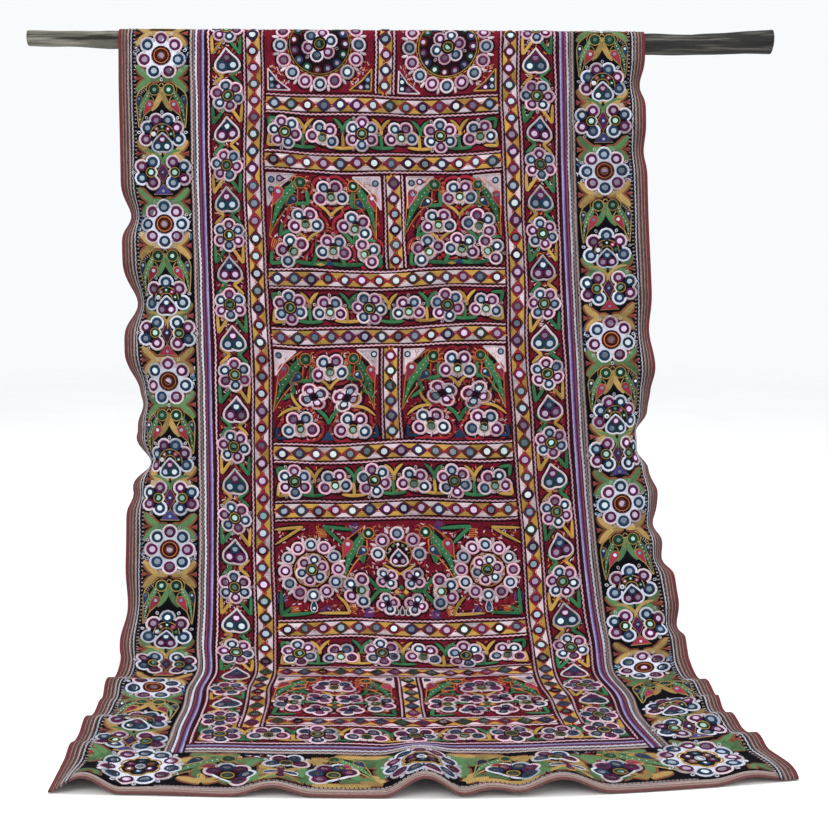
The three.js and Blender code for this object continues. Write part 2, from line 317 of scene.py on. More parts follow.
# Lines of a parrot's back and breast from its head to its tail, and its wings: round end, point, plumpness
PARROT_SHAPES = {
    "slender": (
        ((-14, 13), (-30, 2), (-45, -9), (-57, -28), (-62, -52), (-65, -82), (-71, -118)),
        ((-6, -15), (-7, -29), (-12, -43), (-26, -53), (-42, -71), (-58, -94), (-71, -118)),
        (((-43.5, -12), (-60.5, -53), 1.15), ((-9, -32), (-34, -52), 1.4)),
    ),
    "stocky": (
        ((-14, 11), (-26, 3), (-36, -7), (-40.5, -22), (-40, -42), (-38.5, -64), (-36, -86)),
        ((-8, -14), (-2, -24), (-3, -36), (-13, -48), (-24, -58), (-30, -72), (-36, -86)),
        (((-33, -13), (-38.5, -45), 0.9), ((-6, -25), (-26, -58), 1.1)),
    ),
}

# Parrots at the top of a picture panel: side, x, drop of the head, turn, size
PANEL_PARROTS = ((-1, -50, 19, 0, 0.96), (1, 64, 21, -9, 0.86))

# Fans and clusters of the picture panels: x, y, turn
THREE_ROWS = ((15, 52, 0), (-42, -9, 6), (64, -12, -18), (-70, -66, 42), (16, -61, -6))
LAST_FAN = (84, -66, -62)
TWO_ROWS = ((8, 50, 0), (-62, -68, 4), (62, -72, -4))
TWO_CLUSTERS = ((-31, 0, -18), (49, -6, 24))

# Leaves of the picture panels: x, y, blades, colour, width
FAN_LEAVES = (
    (13, 11, ((42, 36, 0.1), (138, 36, -0.1)), "ochre", 9),
    (-40, -46, ((44, 32, 0.1), (136, 32, -0.1)), "ochre", 9),
    (58, -43, ((132, 30, -0.1), (8, 50, 0.1), (62, 26)), "green", 11),
    (-98, -34, ((20, 34, 0.1), (78, 26)), "green", 10),
)
CLUSTER_LEAVES = (
    (8, 14, ((44, 34, 0.12), (136, 34, -0.12)), "ochre", 9),
    (6, -58, ((52, 46, 0.12), (128, 42, -0.12)), "green", 10.5),
)
QUILT_LEAVES = (
    (62, 14, ((80, 28), (0, 30), (215, 24)), "green", 10.5),
    (62, -32, ((64, 40), (-58, 44), (180, 20)), "green", 10.5),
)

# Leaves and sheaves of half the wide panel, out from its middle
WIDE_LEAVES = (
    (148, 90, ((186, 62), (224, 56)), "green", 10.5),
    (190, 90, ((-4, 58), (-32, 66)), "ochre", 9),
    (238, -93, ((92, 54), (176, 66), (140, 26)), "green", 10.5),
    (104, -93, ((60, 44, 0.1), (2, 62)), "ochre", 9),
)
WIDE_INNER_LEAVES = (
    (44, -42, ((52, 40), (-52, 40), (180, 24)), "green", 10.5),
    (72, 14, ((66, 20), (110, 20), (88, 22)), "green", 7),
)
WIDE_SHEAVES = (
    (152, 76, 0, "orange"),
    (212, -84, 0, "orange"),
    (98, -84, 20, "orange"),
    (86, 88, 60, "indigo"),
    (236, -56, 80, "indigo"),
    (150, -86, 50, "indigo"),
    (66, -92, 10, "indigo"),
)

# Leaves and fans of half an end border, out from its middle: x, y, blades, colour, and for a fan x, y,
# turn, petals, reach, petal
END_LEAVES = (
    (70, 34, ((150, 34), (10, 40), (-60, 26)), "leaf"),
    (96, -34, ((170, 40), (70, 30), (-10, 30)), "leaf"),
    (60, -44, ((60, 30), (6, 34)), "straw"),
    (168, 40, ((-50, 36), (-130, 34), (180, 26)), "straw"),
    (176, -44, ((10, 44), (100, 30), (172, 40)), "leaf"),
    (250, 42, ((-60, 40), (-16, 40), (196, 30)), "leaf"),
    (254, -44, ((96, 36), (6, 50), (174, 40)), "leaf"),
    (330, -44, ((20, 40), (150, 40), (80, 30)), "straw"),
    (352, 40, ((-150, 40), (-30, 40), (180, 30)), "straw"),
    (318, 48, ((170, 40), (10, 40)), "leaf"),
    (86, 50, ((177, 42), (3, 46)), "straw"),
    (64, 4, ((100, 36), (-100, 36)), "leaf"),
    (122, -54, ((178, 44), (2, 44)), "straw"),
    (180, 2, ((84, 30), (-84, 32)), "leaf"),
    (240, 2, ((96, 34), (-96, 34)), "straw"),
    (344, 2, ((104, 34), (-104, 34)), "leaf"),
)
END_LEAF_WIDTH = 20
END_FANS = ((134, -16, -30, 5, 26, 12.4), (206, 25, 0, 4, 22, 11.2), (292, -18, 40, 5, 27, 12.4))

# Lines worked along the tapes and bindings: distance from the inner edge, colour, width, wave
EDGING_LINES = {
    "tape": ((5.5, "lilac", 2.8, 0.5), (19.5, "frost", 3.6, 1.1), (30, "ash", 3.6, 1.2)),
    "binding": ((4, "frost", 2.4, 0.8), (10.5, "ash", 2, 0.7)),
    "hem": ((3.5, "ash", 2, 0.4),),
}

# Kinds of cloth: material slot and reverse
CLOTHS = {
    "field": ("crimson_cloth", "dull_reverse"),
    "border": ("black_cloth", "black_reverse"),
    "tape": ("striped_tape", "tape_reverse"),
    "binding": ("striped_binding", "binding_reverse"),
    "hem": ("striped_binding", "binding_reverse"),
}
REVERSES = {
    "dull_reverse": (96, 40, 42),
    "black_reverse": (46, 40, 44),
    "tape_reverse": (92, 72, 84),
    "binding_reverse": (112, 84, 78),
}
GROUNDS = {"field": ("crimson_ground", (101, 23, 37)), "border": ("black_ground", (13, 12, 18))}
WEAVE_PITCH = 0.9
RIB_PITCH = 1.1
STRIPE_WARPS = 26  # across a striped cloth

# Stripes from the inner to the outer edge: start, colour
STRIPES = {
    "tape": (
        (0.0, (40, 20, 38)),
        (0.1, (172, 156, 198)),
        (0.19, (88, 70, 124)),
        (0.27, (58, 30, 46)),
        (0.36, (118, 52, 76)),
        (0.45, (46, 26, 36)),
        (0.52, (190, 178, 184)),
        (0.6, (42, 32, 38)),
        (0.68, (114, 98, 95)),
        (0.77, (66, 52, 54)),
        (0.85, (136, 122, 118)),
        (0.94, (46, 36, 38)),
    ),
    "binding": (
        (0.0, (28, 22, 26)),
        (0.1, (150, 136, 132)),
        (0.16, (40, 32, 34)),
        (0.26, (96, 78, 72)),
        (0.32, (150, 132, 124)),
        (0.38, (84, 62, 58)),
        (0.46, (58, 42, 42)),
        (0.52, (140, 116, 110)),
        (0.58, (98, 66, 62)),
        (0.66, (66, 42, 44)),
        (0.72, (138, 100, 96)),
        (0.78, (92, 52, 52)),
        (0.9, (118, 46, 50)),
    ),
    "hem": (
        (0.0, (158, 146, 136)),
        (0.14, (96, 82, 78)),
        (0.24, (162, 146, 138)),
        (0.42, (122, 92, 88)),
        (0.56, (152, 128, 122)),
        (0.74, (112, 76, 74)),
        (0.88, (104, 68, 66)),
    ),
}

# Grain of the wood at its thin and its thick end, and its drying cracks, which also carry painted shade
PALE_GRAIN = ((0.3, (54, 52, 47)), (0.5, (100, 97, 88)), (0.7, (146, 142, 131)))
DARK_GRAIN = ((0.3, (13, 13, 13)), (0.52, (38, 37, 36)), (0.72, (108, 104, 96)))
GRAIN_STRETCH = (5, 95, 95)
CRACK_STRETCH = (3, 60, 60)
CRACK_EDGES = ((0.36, (0, 0, 0, 1)), (0.43, (1, 1, 1, 1)))

rng = np.random.default_rng(20)


# Drape


def bell(u):
    return np.where(np.abs(u) < 1, np.cos(np.clip(u, -1, 1) * math.pi / 2) ** 2, 0.0)


def ramp(u):
    t = np.clip(u, 0, 1)
    return t * t * (3 - 2 * t)


def pole_at(x, column):
    return np.interp(x, POLE_STATIONS[:, 0], POLE_STATIONS[:, POLE_COLUMNS.index(column)])


def side_view(along, radius):
    """The cloth's middle line seen from the side: forward, up and its slope."""
    down = POLE_HEIGHT - THICKNESS / 2 + SLACK
    tension = (down + np.sqrt(down**2 + 4 * radius * SLACK)) / 2
    length = np.sqrt(tension**2 - SLACK**2)
    leave = np.arctan2(length, SLACK)
    reach = radius * np.sin(leave) + SLACK * np.arcsinh(length / SLACK)
    floor = THICKNESS / 2 - POLE_HEIGHT
    left = length - (along - radius * leave)
    hanging = np.maximum(left, 0)
    forward = reach - SLACK * np.arcsinh(hanging / SLACK) - np.minimum(left, 0)
    up = floor + np.hypot(hanging, SLACK) - SLACK
    slope = np.arctan2(hanging, SLACK)
    crest = along < radius * leave
    turned = along / radius
    forward = np.where(crest, radius * np.sin(turned), forward)
    up = np.where(crest, radius * np.cos(turned), up)
    slope = np.where(crest, turned, slope)
    behind = along < -radius * math.pi / 2
    forward = np.where(behind, -radius, forward)
    up = np.where(behind, along + radius * math.pi / 2, up)
    slope = np.where(behind, -math.pi / 2, slope)
    return forward, up, slope


def edge_turn(side, distance, along):
    """How far the long edge is turned away from the viewer, in radians."""
    degrees = 0
    for middle, half, turn, width in EDGE_TURNS[side]:
        share = ramp((distance - HALF_WIDTH + width) / width)
        degrees = degrees + turn * bell((along - middle) / half) * share
    return np.radians(degrees)


def turned_reach(side, across, along):
    """Sideways and backward reach of the cloth from its middle line, along its turned section."""
    start = HALF_WIDTH - max(width for _, _, _, width in EDGE_TURNS[side])
    beyond = np.maximum(np.abs(across) - start, 0)
    step = beyond / TURN_STEPS
    sideways = np.minimum(np.abs(across), start)
    backward = np.zeros_like(across)
    for i in range(TURN_STEPS):
        angle = edge_turn(side, start + (i + 0.5) * step, along)
        sideways = sideways + np.cos(angle) * step
        backward = backward + np.sin(angle) * step
    return np.sign(across) * sideways, backward


def stand_off(side, across, along):
    """How far the cloth stands off its side view."""
    off = np.zeros_like(across)
    for middle, at, half_width, half_length, depth in SWELLS:
        off += depth * bell((across - middle) / half_width) * bell((along - at) / half_length)
    for at, half, height, width in FLOOR_RIPPLES[side]:
        inward = (np.abs(across) - HALF_WIDTH + width) / width
        off += height * bell((along - at) / half) * ramp(inward)
    for middle, half, height, length in HEM_RIDGES:
        outward = (along - FRONT_LENGTH + length) / length
        off += height * bell((across - middle) / half) * ramp(outward)
    clear = ramp((np.abs(along) - CREST_REACH) / CREST_REACH)
    for wave_across, wave_along, depth, phase in CRUMPLES:
        off += depth * clear * (1 + np.sin(across / wave_across * 2 + along / wave_along * 2 + phase))
    return off


def drape_side(side, across, along):
    """Points of the cloth's middle surface on one side of its middle line."""
    sideways, backward = turned_reach(side, across, along)
    down = np.maximum(0, along) / FRONT_LENGTH
    kept = 1.0
    for middle, half, share in GATHERS[side]:
        kept = kept - share * bell((along - middle) / half)
    x = CLOTH_MIDDLE_X + DRIFT * down**DRIFT_POWER + sideways * kept
    lag = TRAIL[side] * (across / HALF_WIDTH) ** 2 * down
    radius = pole_at(x, "radius") + POLE_CLEARANCE + THICKNESS / 2
    forward, up, slope = side_view(along - lag, radius)
    off = stand_off(side, across, along) - backward
    rise = pole_at(x, "rise") * (1 - ramp(down)) * np.minimum(1, (up + POLE_HEIGHT) / POLE_HEIGHT)
    return np.stack([x, -forward - off * np.sin(slope), up + rise + off * np.cos(slope)], -1)


class DrapedCloth:
    """The draped surface as a fine lattice, which puts any place on the flat cloth where it hangs."""

    def __init__(self):
        step = LATTICE_STEP
        self.across = np.arange(-HALF_WIDTH - step, HALF_WIDTH + 2 * step, step)
        self.along = np.arange(-BACK_LENGTH - step, FRONT_LENGTH + 2 * step, step)
        across, along = np.meshgrid(self.across.astype(float), self.along.astype(float))
        halves = [drape_side(side, across, along) for side in ("left", "right")]
        self.points = np.where((across < 0)[..., None], *halves)
        normals = np.cross(np.gradient(self.points, axis=0), np.gradient(self.points, axis=1))
        self.normals = normals / np.linalg.norm(normals, axis=-1, keepdims=True)

    def place(self, flat, height):
        """World points, in metres, of flat places at a height over the cloth's middle surface."""
        column = np.clip((flat[:, 0] - self.across[0]) / LATTICE_STEP, 0, len(self.across) - 1.001)
        row = np.clip((flat[:, 1] - self.along[0]) / LATTICE_STEP, 0, len(self.along) - 1.001)
        c = column.astype(int)
        r = row.astype(int)
        u = (column - c)[:, None]
        v = (row - r)[:, None]
        mixed = []
        for grid in (self.points, self.normals):
            near = grid[r, c] * (1 - u) + grid[r, c + 1] * u
            far = grid[r + 1, c] * (1 - u) + grid[r + 1, c + 1] * u
            mixed.append(near * (1 - v) + far * v)
        return (mixed[0] + mixed[1] * np.asarray(height)[:, None]) * MM


# Meshes


def mesh_object(name, points, faces, uv=None, shade=None, face_materials=None):
    """A smooth mesh object from arrays, with uv and shade given for each point."""
    mesh = bpy.data.meshes.new(name)
    mesh.from_pydata(points, [], faces)
    corners = np.empty(len(mesh.loops), int)
    mesh.loops.foreach_get("vertex_index", corners)
    if uv is not None:
        layer = mesh.uv_layers.new(name="flat")
        layer.data.foreach_set("uv", uv[corners].astype(np.float32).ravel())
    if shade is not None:
        layer = mesh.attributes.new("shade", "FLOAT", "POINT")
        layer.data.foreach_set("value", shade.astype(np.float32))
    if face_materials is not None:
        mesh.polygons.foreach_set("material_index", np.asarray(face_materials, np.int32))
    mesh.polygons.foreach_set("use_smooth", np.ones(len(mesh.polygons), bool))
    mesh.update()
    made = bpy.data.objects.new(name, mesh)
    bpy.context.collection.objects.link(made)
    return made


def lattice_faces(rows, columns, closed=False):
    """Faces of a lattice of points, joined end to end where it is closed."""
    r = np.arange(rows if closed else rows - 1)[:, None]
    c = np.arange(columns - 1)[None, :]
    here = r * columns + c
    there = ((r + 1) % rows) * columns + c
    return np.stack([here, there, there + 1, here + 1], -1).reshape(-1, 4)


def cap_faces(count, columns):
    """Triangles from the last column of a closed lattice to one more point in its middle."""
    inner = np.arange(count) * columns + columns - 1
    return np.stack([inner, np.roll(inner, -1), np.full(count, count * columns)], -1)


# Lines on the flat cloth


def polar(radius, degrees):
    return radius * math.cos(math.radians(degrees)), radius * math.sin(math.radians(degrees))


def arc(x, y, radius, start, end, steps):
    angles = np.radians(np.linspace(start, end, steps + 1))
    return np.stack([x + radius * np.cos(angles), y + radius * np.sin(angles)], -1)


def circle(radius, steps):
    return arc(0, 0, radius, 0, 360 - 360 / steps, steps - 1)


def diamond(wide, tall):
    return (wide, 0), (0, tall), (-wide, 0), (0, -tall)


def doubled(half, axis=(-1, 1)):
    """A closed outline from one half of it and the same half mirrored."""
    return np.concatenate([half, (half * axis)[::-1][1:-1]])


def between(angles):
    return (angles[1:] + angles[:-1]) / 2


def curve(points, steps=5, closed=False):
    """A smooth curve through a few points."""
    p = np.asarray(points, float)
    before = np.roll(p, 1, 0)
    after = np.roll(p, -1, 0)
    beyond = np.roll(p, -2, 0)
    if not closed:
        before[0] = p[0]
        after[-1] = p[-1]
        beyond[-2:] = p[-1]
    t = (np.arange(steps) / steps)[None, :, None]
    a, b, c, d = (q[:, None, :] for q in (before, p, after, beyond))
    run = 0.5 * (2 * b + (c - a) * t + (2 * a - 5 * b + 4 * c - d) * t**2 + (3 * b - a - 3 * c + d) * t**3)
    run = run.reshape(-1, 2)
    if closed:
        return run
    return np.concatenate([run[: steps * (len(p) - 1)], p[-1:]])


def lens(wide, tall):
    """The outline of an eye shape with pointed ends."""
    x = np.linspace(-1, 1, 9)
    return doubled(np.stack([x * wide, tall * (1 - np.abs(x) ** 1.7) ** 1.15], -1), (1, -1))


def run_lengths(path):
    """The length of a path up to each of its points."""
    steps = np.linalg.norm(np.diff(path, axis=0), axis=1)
    return np.concatenate([[0], np.cumsum(steps)])


def heading(run):
    """The turn that points a place's y axis along a direction."""
    return math.degrees(math.atan2(run[1], run[0])) - 90


def seen_cross(first, second):
    """How far the second flat direction turns to the left of the first, as the viewer sees them."""
    return first[..., 1] * second[..., 0] - first[..., 0] * second[..., 1]


def unsteady(x, *waves):
    """The drift of a line sewn by hand, from the depth and the length of each of its waves."""
    return sum(depth * np.sin(x / wave + rng.random() * 6) for depth, wave in waves)


# Stitching


class Threads:
    """Raised stitching of one colour, or mirrors, gathered on the flat cloth."""

    def __init__(self):
        self.flat = []
        self.heights = []
        self.uv = []
        self.shade = []
        self.faces = []
        self.total = 0

    def add(self, flat, heights, uv, faces):
        for some in faces:
            self.faces.extend((some + self.total).tolist())
        self.flat.append(flat)
        self.heights.append(heights)
        self.uv.append(uv)
        self.shade.append(np.full(len(flat), rng.random()))
        self.total += len(flat)


class Work:
    """The embroidery of one cloth: raised stitching by colour, and the mirrors it holds."""

    def __init__(self, cloth_name, pale):
        self.cloth_name = cloth_name
        self.pale = pale
        self.layers = {}

    def place(self, across, along):
        return Place(self, (across, along), ((1, 0), (0, -1)))


class Place:
    """A spot on a cloth with its own axes, x to the right and y up towards the pole, to stitch on."""

    def __init__(self, work, origin, matrix):
        self.work = work
        self.pale = work.pale
        self.origin = np.array(origin, float)
        self.matrix = np.array(matrix, float)

    def flat(self, points):
        return self.origin + np.asarray(points, float) @ self.matrix.T

    def at(self, x, y, turn=0, flip=1, size=1, stretch=1):
        c = math.cos(math.radians(turn)) * size
        s = math.sin(math.radians(turn)) * size
        wide = flip * stretch
        return Place(self.work, self.flat((x, y)), self.matrix @ np.array([[c * wide, -s], [s * wide, c]]))

    def out(self, reach, degrees, turn=0):
        """A spot on a circle round this one."""
        return self.at(*polar(reach, degrees), turn=turn)

    def add(self, colour, flat, heights, uv, *faces):
        threads = self.work.layers.setdefault(colour, Threads())
        threads.add(flat.reshape(-1, 2), heights.ravel(), uv.reshape(-1, 2), faces)

    def line(self, points, width, colour, height=LINE, closed=False, section=ROPE):
        """A raised line of stitching. width is one number, or one for each point."""
        path = self.flat(points)
        if closed:
            run = np.roll(path, -1, 0) - np.roll(path, 1, 0)
        else:
            run = np.gradient(path, axis=0)
        run /= np.maximum(np.linalg.norm(run, axis=1, keepdims=True), 1e-6)
        left = np.stack([run[:, 1], -run[:, 0]], -1)
        sides, lifts = section
        half = np.broadcast_to(np.asarray(width, float) / 2, len(path))
        flat = path[:, None, :] + left[:, None, :] * (half[:, None] * sides)[..., None]
        heights = np.broadcast_to(height * lifts, flat.shape[:2])
        length = run_lengths(path) + 100 * rng.random()
        rows = max(1, round(2 * half.max() / STITCH_ROW))
        uv = np.stack(np.broadcast_arrays(length[:, None] * UV_SCALE, (sides / 2 + 0.5) * rows), -1)
        self.add(colour, flat, heights, uv, lattice_faces(len(path), len(sides), closed))

    def cord(self, points, width, colour, height=LINE, closed=False):
        """A thin raised line."""
        self.line(points, width, colour, height, closed, CORD)

    def ring(self, radius, width, colour, height=RING, steps=14):
        self.line(circle(radius, steps), width, colour, height, closed=True)

    def span(self, first, second, colour, height=FILL):
        """The surface between two lines of equal count, filled with stitching."""
        a = self.flat(first)
        b = self.flat(second)
        if seen_cross(a[-1] - a[0], (b - a).mean(0)) < 0:
            a, b = b, a
        sides = STRIP[0][None, :, None]
        flat = a[:, None, :] * (1 - sides) + b[:, None, :] * sides
        heights = np.broadcast_to(height * STRIP[1], flat.shape[:2])
        uv = np.stack([flat[..., 1] * UV_SCALE, flat[..., 0] / STITCH_ROW], -1)
        self.add(colour, flat, heights, uv, lattice_faces(len(a), sides.size))

    def fill(self, outline, colour, height=FILL, inset=0.86, turn=0):
        """A shape filled with stitching, slightly domed. Its stitches run at an angle of turn degrees."""
        edge = self.flat(outline)
        if seen_cross(edge, np.roll(edge, -1, 0)).sum() < 0:
            edge = edge[::-1]
        middle = edge.mean(0)
        rings = math.ceil(np.linalg.norm(edge - middle, axis=1).max() * inset / FACET)
        scales = np.array([1, *np.linspace(inset, 0, rings + 1)[:-1]])
        flat = middle + (edge - middle)[:, None, :] * scales[None, :, None]
        lifts = np.where(scales == 1, -FILL_DOME, 1 + FILL_DOME - FILL_DOME * scales)
        heights = np.broadcast_to(height * lifts, flat.shape[:2])
        flat = np.concatenate([flat.reshape(-1, 2), [middle]])
        heights = np.append(heights.ravel(), height * (1 + FILL_DOME))
        c = math.cos(math.radians(turn))
        s = math.sin(math.radians(turn))
        uv = flat @ np.array([(c, -s), (s, c)]) * (UV_SCALE, 1 / STITCH_ROW)
        n = len(edge)
        self.add(colour, flat, heights, uv, lattice_faces(n, len(scales), True), cap_faces(n, len(scales)))

    def disc(self, radius, colour, height=FILL, steps=14):
        self.fill(circle(radius, steps), colour, height)

    def mirror(self, radius, glass, steps=12, height=MIRROR):
        """A small convex mirror, slightly askew under its ring."""
        rim = circle(radius, steps)
        local = np.concatenate([np.stack([rim, rim * MIRROR_INNER], 1).reshape(-1, 2), [(0, 0)]])
        tilt = rng.normal(0, MIRROR_TILT, 2)
        heights = height + local @ tilt + MIRROR_DOME * (radius - np.linalg.norm(local, axis=1))
        faces = [lattice_faces(steps, 2, True), cap_faces(steps, 2)]
        if np.linalg.det(self.matrix) > 0:
            faces = [some[:, ::-1] for some in faces]
        self.add(glass, self.flat(local), heights, local * UV_SCALE, *faces)

    def wavy(self, length, colour, width, pitch=WAVE_PITCH, wave=WAVE_HEIGHT):
        """A wavy couched line along the x axis."""
        steps = max(4, int(length / pitch * 4))
        x = np.linspace(-length / 2, length / 2, steps + 1)
        drift = unsteady(x, (0.7, 47), (0.5, 19))
        self.cord(np.stack([x, wave * np.sin(x * 2 * math.pi / pitch) + drift], -1), width, colour)

    def bar(self, length, colour, width, height=UNDER, y=0):
        """A straight couched line along the x axis."""
        steps = max(2, int(length / BAR_STEP))
        x = np.linspace(-length / 2, length / 2, steps + 1)
        self.cord(np.stack([x, y + unsteady(x, (0.5, 31))], -1), width, colour, height)


# Motifs


def eye(place, radius, colour, ring, height=MIRROR):
    """A round mirror in its stitched ring."""
    # Mirrors in warm rings get the plum tint, a painted reflection of the ring.
    place.mirror(radius, "plum_reflection_glass" if colour in WARM_RINGS else "glass", height=height)
    place.ring(radius + ring * TUCK, ring, colour, RING * height / MIRROR)


def petal_runs(angles, reach, radius, ends=0):
    """Arcs round a row of petals. ends is how far those of an open row's end petals reach on."""
    apart = math.radians(abs(angles[1] - angles[0])) / 2
    chord = reach * math.sin(apart)
    meet = reach * math.cos(apart) + math.sqrt(max(radius**2 - chord**2, 1))
    half = math.degrees(math.atan2(meet * math.sin(apart), meet * math.cos(apart) - reach))
    way = 1 if angles[1] > angles[0] else -1
    runs = []
    for i, angle in enumerate(angles):
        start = half + (ends if i == 0 else 0)
        end = half + (ends if i == len(angles) - 1 else 0)
        x, y = polar(reach, angle)
        steps = 9 if ends and i in (0, len(angles) - 1) else 6
        runs.append(arc(x, y, radius, angle - way * start, angle + way * end, steps))
    return runs


def petal_arcs(angles, reach, radius, ends=0):
    """The whole scalloped outline round petals as one line."""
    return np.concatenate([run[:-1] for run in petal_runs(angles, reach, radius, ends)])


def scallops(place, angles, reach, petal, first=0, ends=0):
    """The pale outline of a flower, pinker round its plum petals."""
    runs = petal_runs(angles, reach, petal + PALE_WIDTH * TUCK, ends)
    for i, run in enumerate(runs):
        place.line(run, PALE_WIDTH, OUTLINES[place.pale][(i + first) % 2])
    return runs


def heart(place):
    """The small mirror in the middle of a flower, in green and ochre rings."""
    # The green tint of this mirror is a painted reflection of its green ring.
    place.mirror(5.4, "green_reflection_glass")
    place.ring(7.2, 3.8, "bottle")
    place.ring(10.2, 2, "ochre", RING * 0.9)


def medallion(place):
    """The ringed heart of a large border flower."""
    place.disc(21, "dark")
    eye(place, 6, "rust", 3.4)
    place.ring(11.4, 2.4, "maroon", RING, 18)
    place.ring(15.2, 3, "orange", RING, 20)
    place.ring(19.6, 3.4, "maroon", RING, 20)


def picot(place, reach, angle):
    """A tiny pale loop that stands out between two petals."""
    spot = place.out(reach, angle, angle - 90)
    spot.cord(curve(PICOT, 2, closed=True), 2, place.pale, closed=True)


def sprout(place, reach, angle):
    """A small solid pale tongue between two petals of a rosette."""
    place.out(reach, angle, angle - 90).line(SPROUT, SPROUT_WIDTHS, place.pale)


def petals_of(place, angles, reach, petal, first=0, glass=0.48):
    """Ringed mirrors in the petals; glass is the mirror's share of a petal."""
    for i, angle in enumerate(angles):
        eye(place.out(reach, angle), petal * glass, RINGS[(i + first) % 2], petal * (1.04 - glass))


def ringed_petals(place, angles, reach, petal):
    """Petals that each have a whole pale outline."""
    for i, angle in enumerate(angles):
        spot = place.out(reach, angle)
        spot.ring(petal + PALE_WIDTH * 0.4, PALE_WIDTH, OUTLINES[place.pale][i % 2], LINE)
    petals_of(place, angles, reach, petal, glass=0.56)


def echoes(place, outline, halo):
    """A dark line round an outline, and on red cloth a red and a second dark one."""
    away = PALE_WIDTH + DARK_WIDTH * 0.34
    place.cord(outline(away), DARK_WIDTH, halo, UNDER, closed=True)
    if halo == "dark":
        away += (DARK_WIDTH + ECHO_WIDTH) / 2 - 1
        place.cord(outline(away), ECHO_WIDTH, "red", UNDER * 0.8, closed=True)
        away += (ECHO_WIDTH + OUTER_ECHO_WIDTH) / 2 - 1
        place.cord(outline(away), OUTER_ECHO_WIDTH, halo, UNDER, closed=True)


def flower(place, petals, reach, petal, first=90, middle=heart, halo=None, lit=False):
    """A round flower: mirrors in a ring of petals on pale stitching, inside a scalloped pale outline."""
    angles = first + 360 / petals * np.arange(petals)
    start = int(rng.integers(2))
    place.disc(reach + petal * 0.4, place.pale, PETAL_GROUND, 18)
    if not lit:
        place.disc(reach * 0.74, "dark", FILL, 14)
    if halo:
        echoes(place, lambda away: petal_arcs(angles, reach, petal + away), halo)
    scallops(place, angles, reach, petal, start)
    petals_of(place, angles, reach, petal, start)
    for angle in angles[:: 1 if lit else 2] + 180 / petals:
        picot(place, reach + petal * PICOT_REACH, angle)
    if middle:
        middle(place)


def fan(place, petals=4, reach=22.5, petal=11, spread=196, halo="dark", ground="pale"):
    """A flower that opens upwards from a heart at its foot, on a short dark stem."""
    angles = np.linspace(90 + spread / 2, 90 - spread / 2, petals)
    start = int(rng.integers(2))

    def foot(away):
        return 0, -reach * 0.62 - away

    def outline(away):
        return np.concatenate([petal_arcs(angles, reach, petal + away, FAN_ENDS), [foot(away)]])

    place.at(0, reach * 0.22).disc(reach, ground, PETAL_GROUND, 16)
    place.at(0, reach * 0.4).disc(reach * 0.42, "dark", FILL, 10)
    echoes(place, outline, halo)
    runs = scallops(place, angles, reach, petal, start, FAN_ENDS)
    place.line((runs[-1][-1], foot(0), runs[0][0]), PALE_WIDTH, place.pale)
    petals_of(place, angles, reach, petal, start)
    for angle in between(angles):
        if rng.random() < 0.6:
            picot(place, reach + petal * PICOT_REACH, angle)
    heart(place.at(0, -1))
    place.cord(((0, -11), (0.5, -reach * 0.7), (2, -reach)), FINE_LINE, "dark", RING)


def cluster(place, wide=1.0):
    """Four mirrors close together on pale stitching, in one rounded outline."""
    angles = 45 + 90 * np.arange(4)
    spot = place.at(0, 0, stretch=wide)
    spot.disc(16, place.pale, PETAL_GROUND, 14)
    spot.disc(9, "dark", FILL, 8)
    spot.cord(petal_arcs(angles, 12.5, 15), DARK_WIDTH, "dark", UNDER, closed=True)
    scallops(spot, angles, 11.6, 8.6)
    petals_of(spot, angles, 11.2, 8)


def trefoil(place, size, first=0, tip=24, halo="dark"):
    """Three mirrors in a pale outline shaped like a spade, its point up."""
    spot = place.at(0, 0, size=size)
    outline = doubled(curve(((0, tip), *HALF_SPADE), 4))
    spot.fill(outline * 0.9, "bottle" if first else "dark", UNDER)
    spot.cord(outline * 1.16, DARK_WIDTH, halo, UNDER, closed=True)
    spot.line(outline, 4.6, place.pale, closed=True)
    spot.fill(((0, tip * 0.78), (-8, 9), (8, 9)), RINGS[first], LINE)
    eye(spot.at(0, 6), 4.8, RINGS[first], 5 * size)
    for side in SIDES:
        eye(spot.at(9.8 * side, -9.4), 5.4, RINGS[1 - first], 5 * size)


def fork(place, blades, colour, width=LEAF_WIDTH, edge="dark", height=FILL, vein=None):
    """Leaf blades from one root, each given as (angle, length) or (angle, length, bend)."""
    t = np.linspace(0, 1, len(LEAF_TAPER))
    for angle, length, *bend in blades:
        spot = place.at(0, 0, turn=angle)
        points = np.stack([t * length, sum(bend) * length * (np.sin(t * math.pi) - 0.4 * t)], -1)
        if edge:
            spot.line(points, LEAF_TAPER * width + LEAF_EDGE, edge, height * 0.5)
        spot.line(points, LEAF_TAPER * width, colour, height)
        if vein:
            spot.cord(points[1:-1], 1.8, vein, height * 1.35)


def leaves(place, rows, k=1):
    """A table of leaf forks, their places across the cloth scaled by k."""
    for x, y, blades, colour, width in rows:
        fork(place.at(x * k, y), blades, colour, width)


def drop(place, length, colour, edge, mirror=True, height=FILL):
    """A teardrop with a small mirror, its point along the place's y axis."""
    outline = doubled(curve(HALF_DROP, 3) * length)
    place.fill(outline, colour, height)
    place.cord(outline, FINE_LINE, edge, height + 0.5, closed=True)
    if mirror:
        place.mirror(length * 0.13, "glass", 8, height + 0.5)


def rungs(place, path, pitch=5.6):
    """Short pale stitches set crosswise along the outside of a path, like the rungs of a ladder."""
    run = run_lengths(path)
    for at in np.arange(2 * pitch, run[-1], pitch):
        i = min(max(1, int(np.searchsorted(run, at))), len(path) - 2)
        spot = (np.interp(at, run, path[:, 0]), np.interp(at, run, path[:, 1]))
        rung = place.at(*spot, turn=heading(path[i + 1] - path[i - 1]))
        rung.cord(((-8.5, 0), (-5.5, 0), (-2.5, 0)), FINE_LINE, "ash")


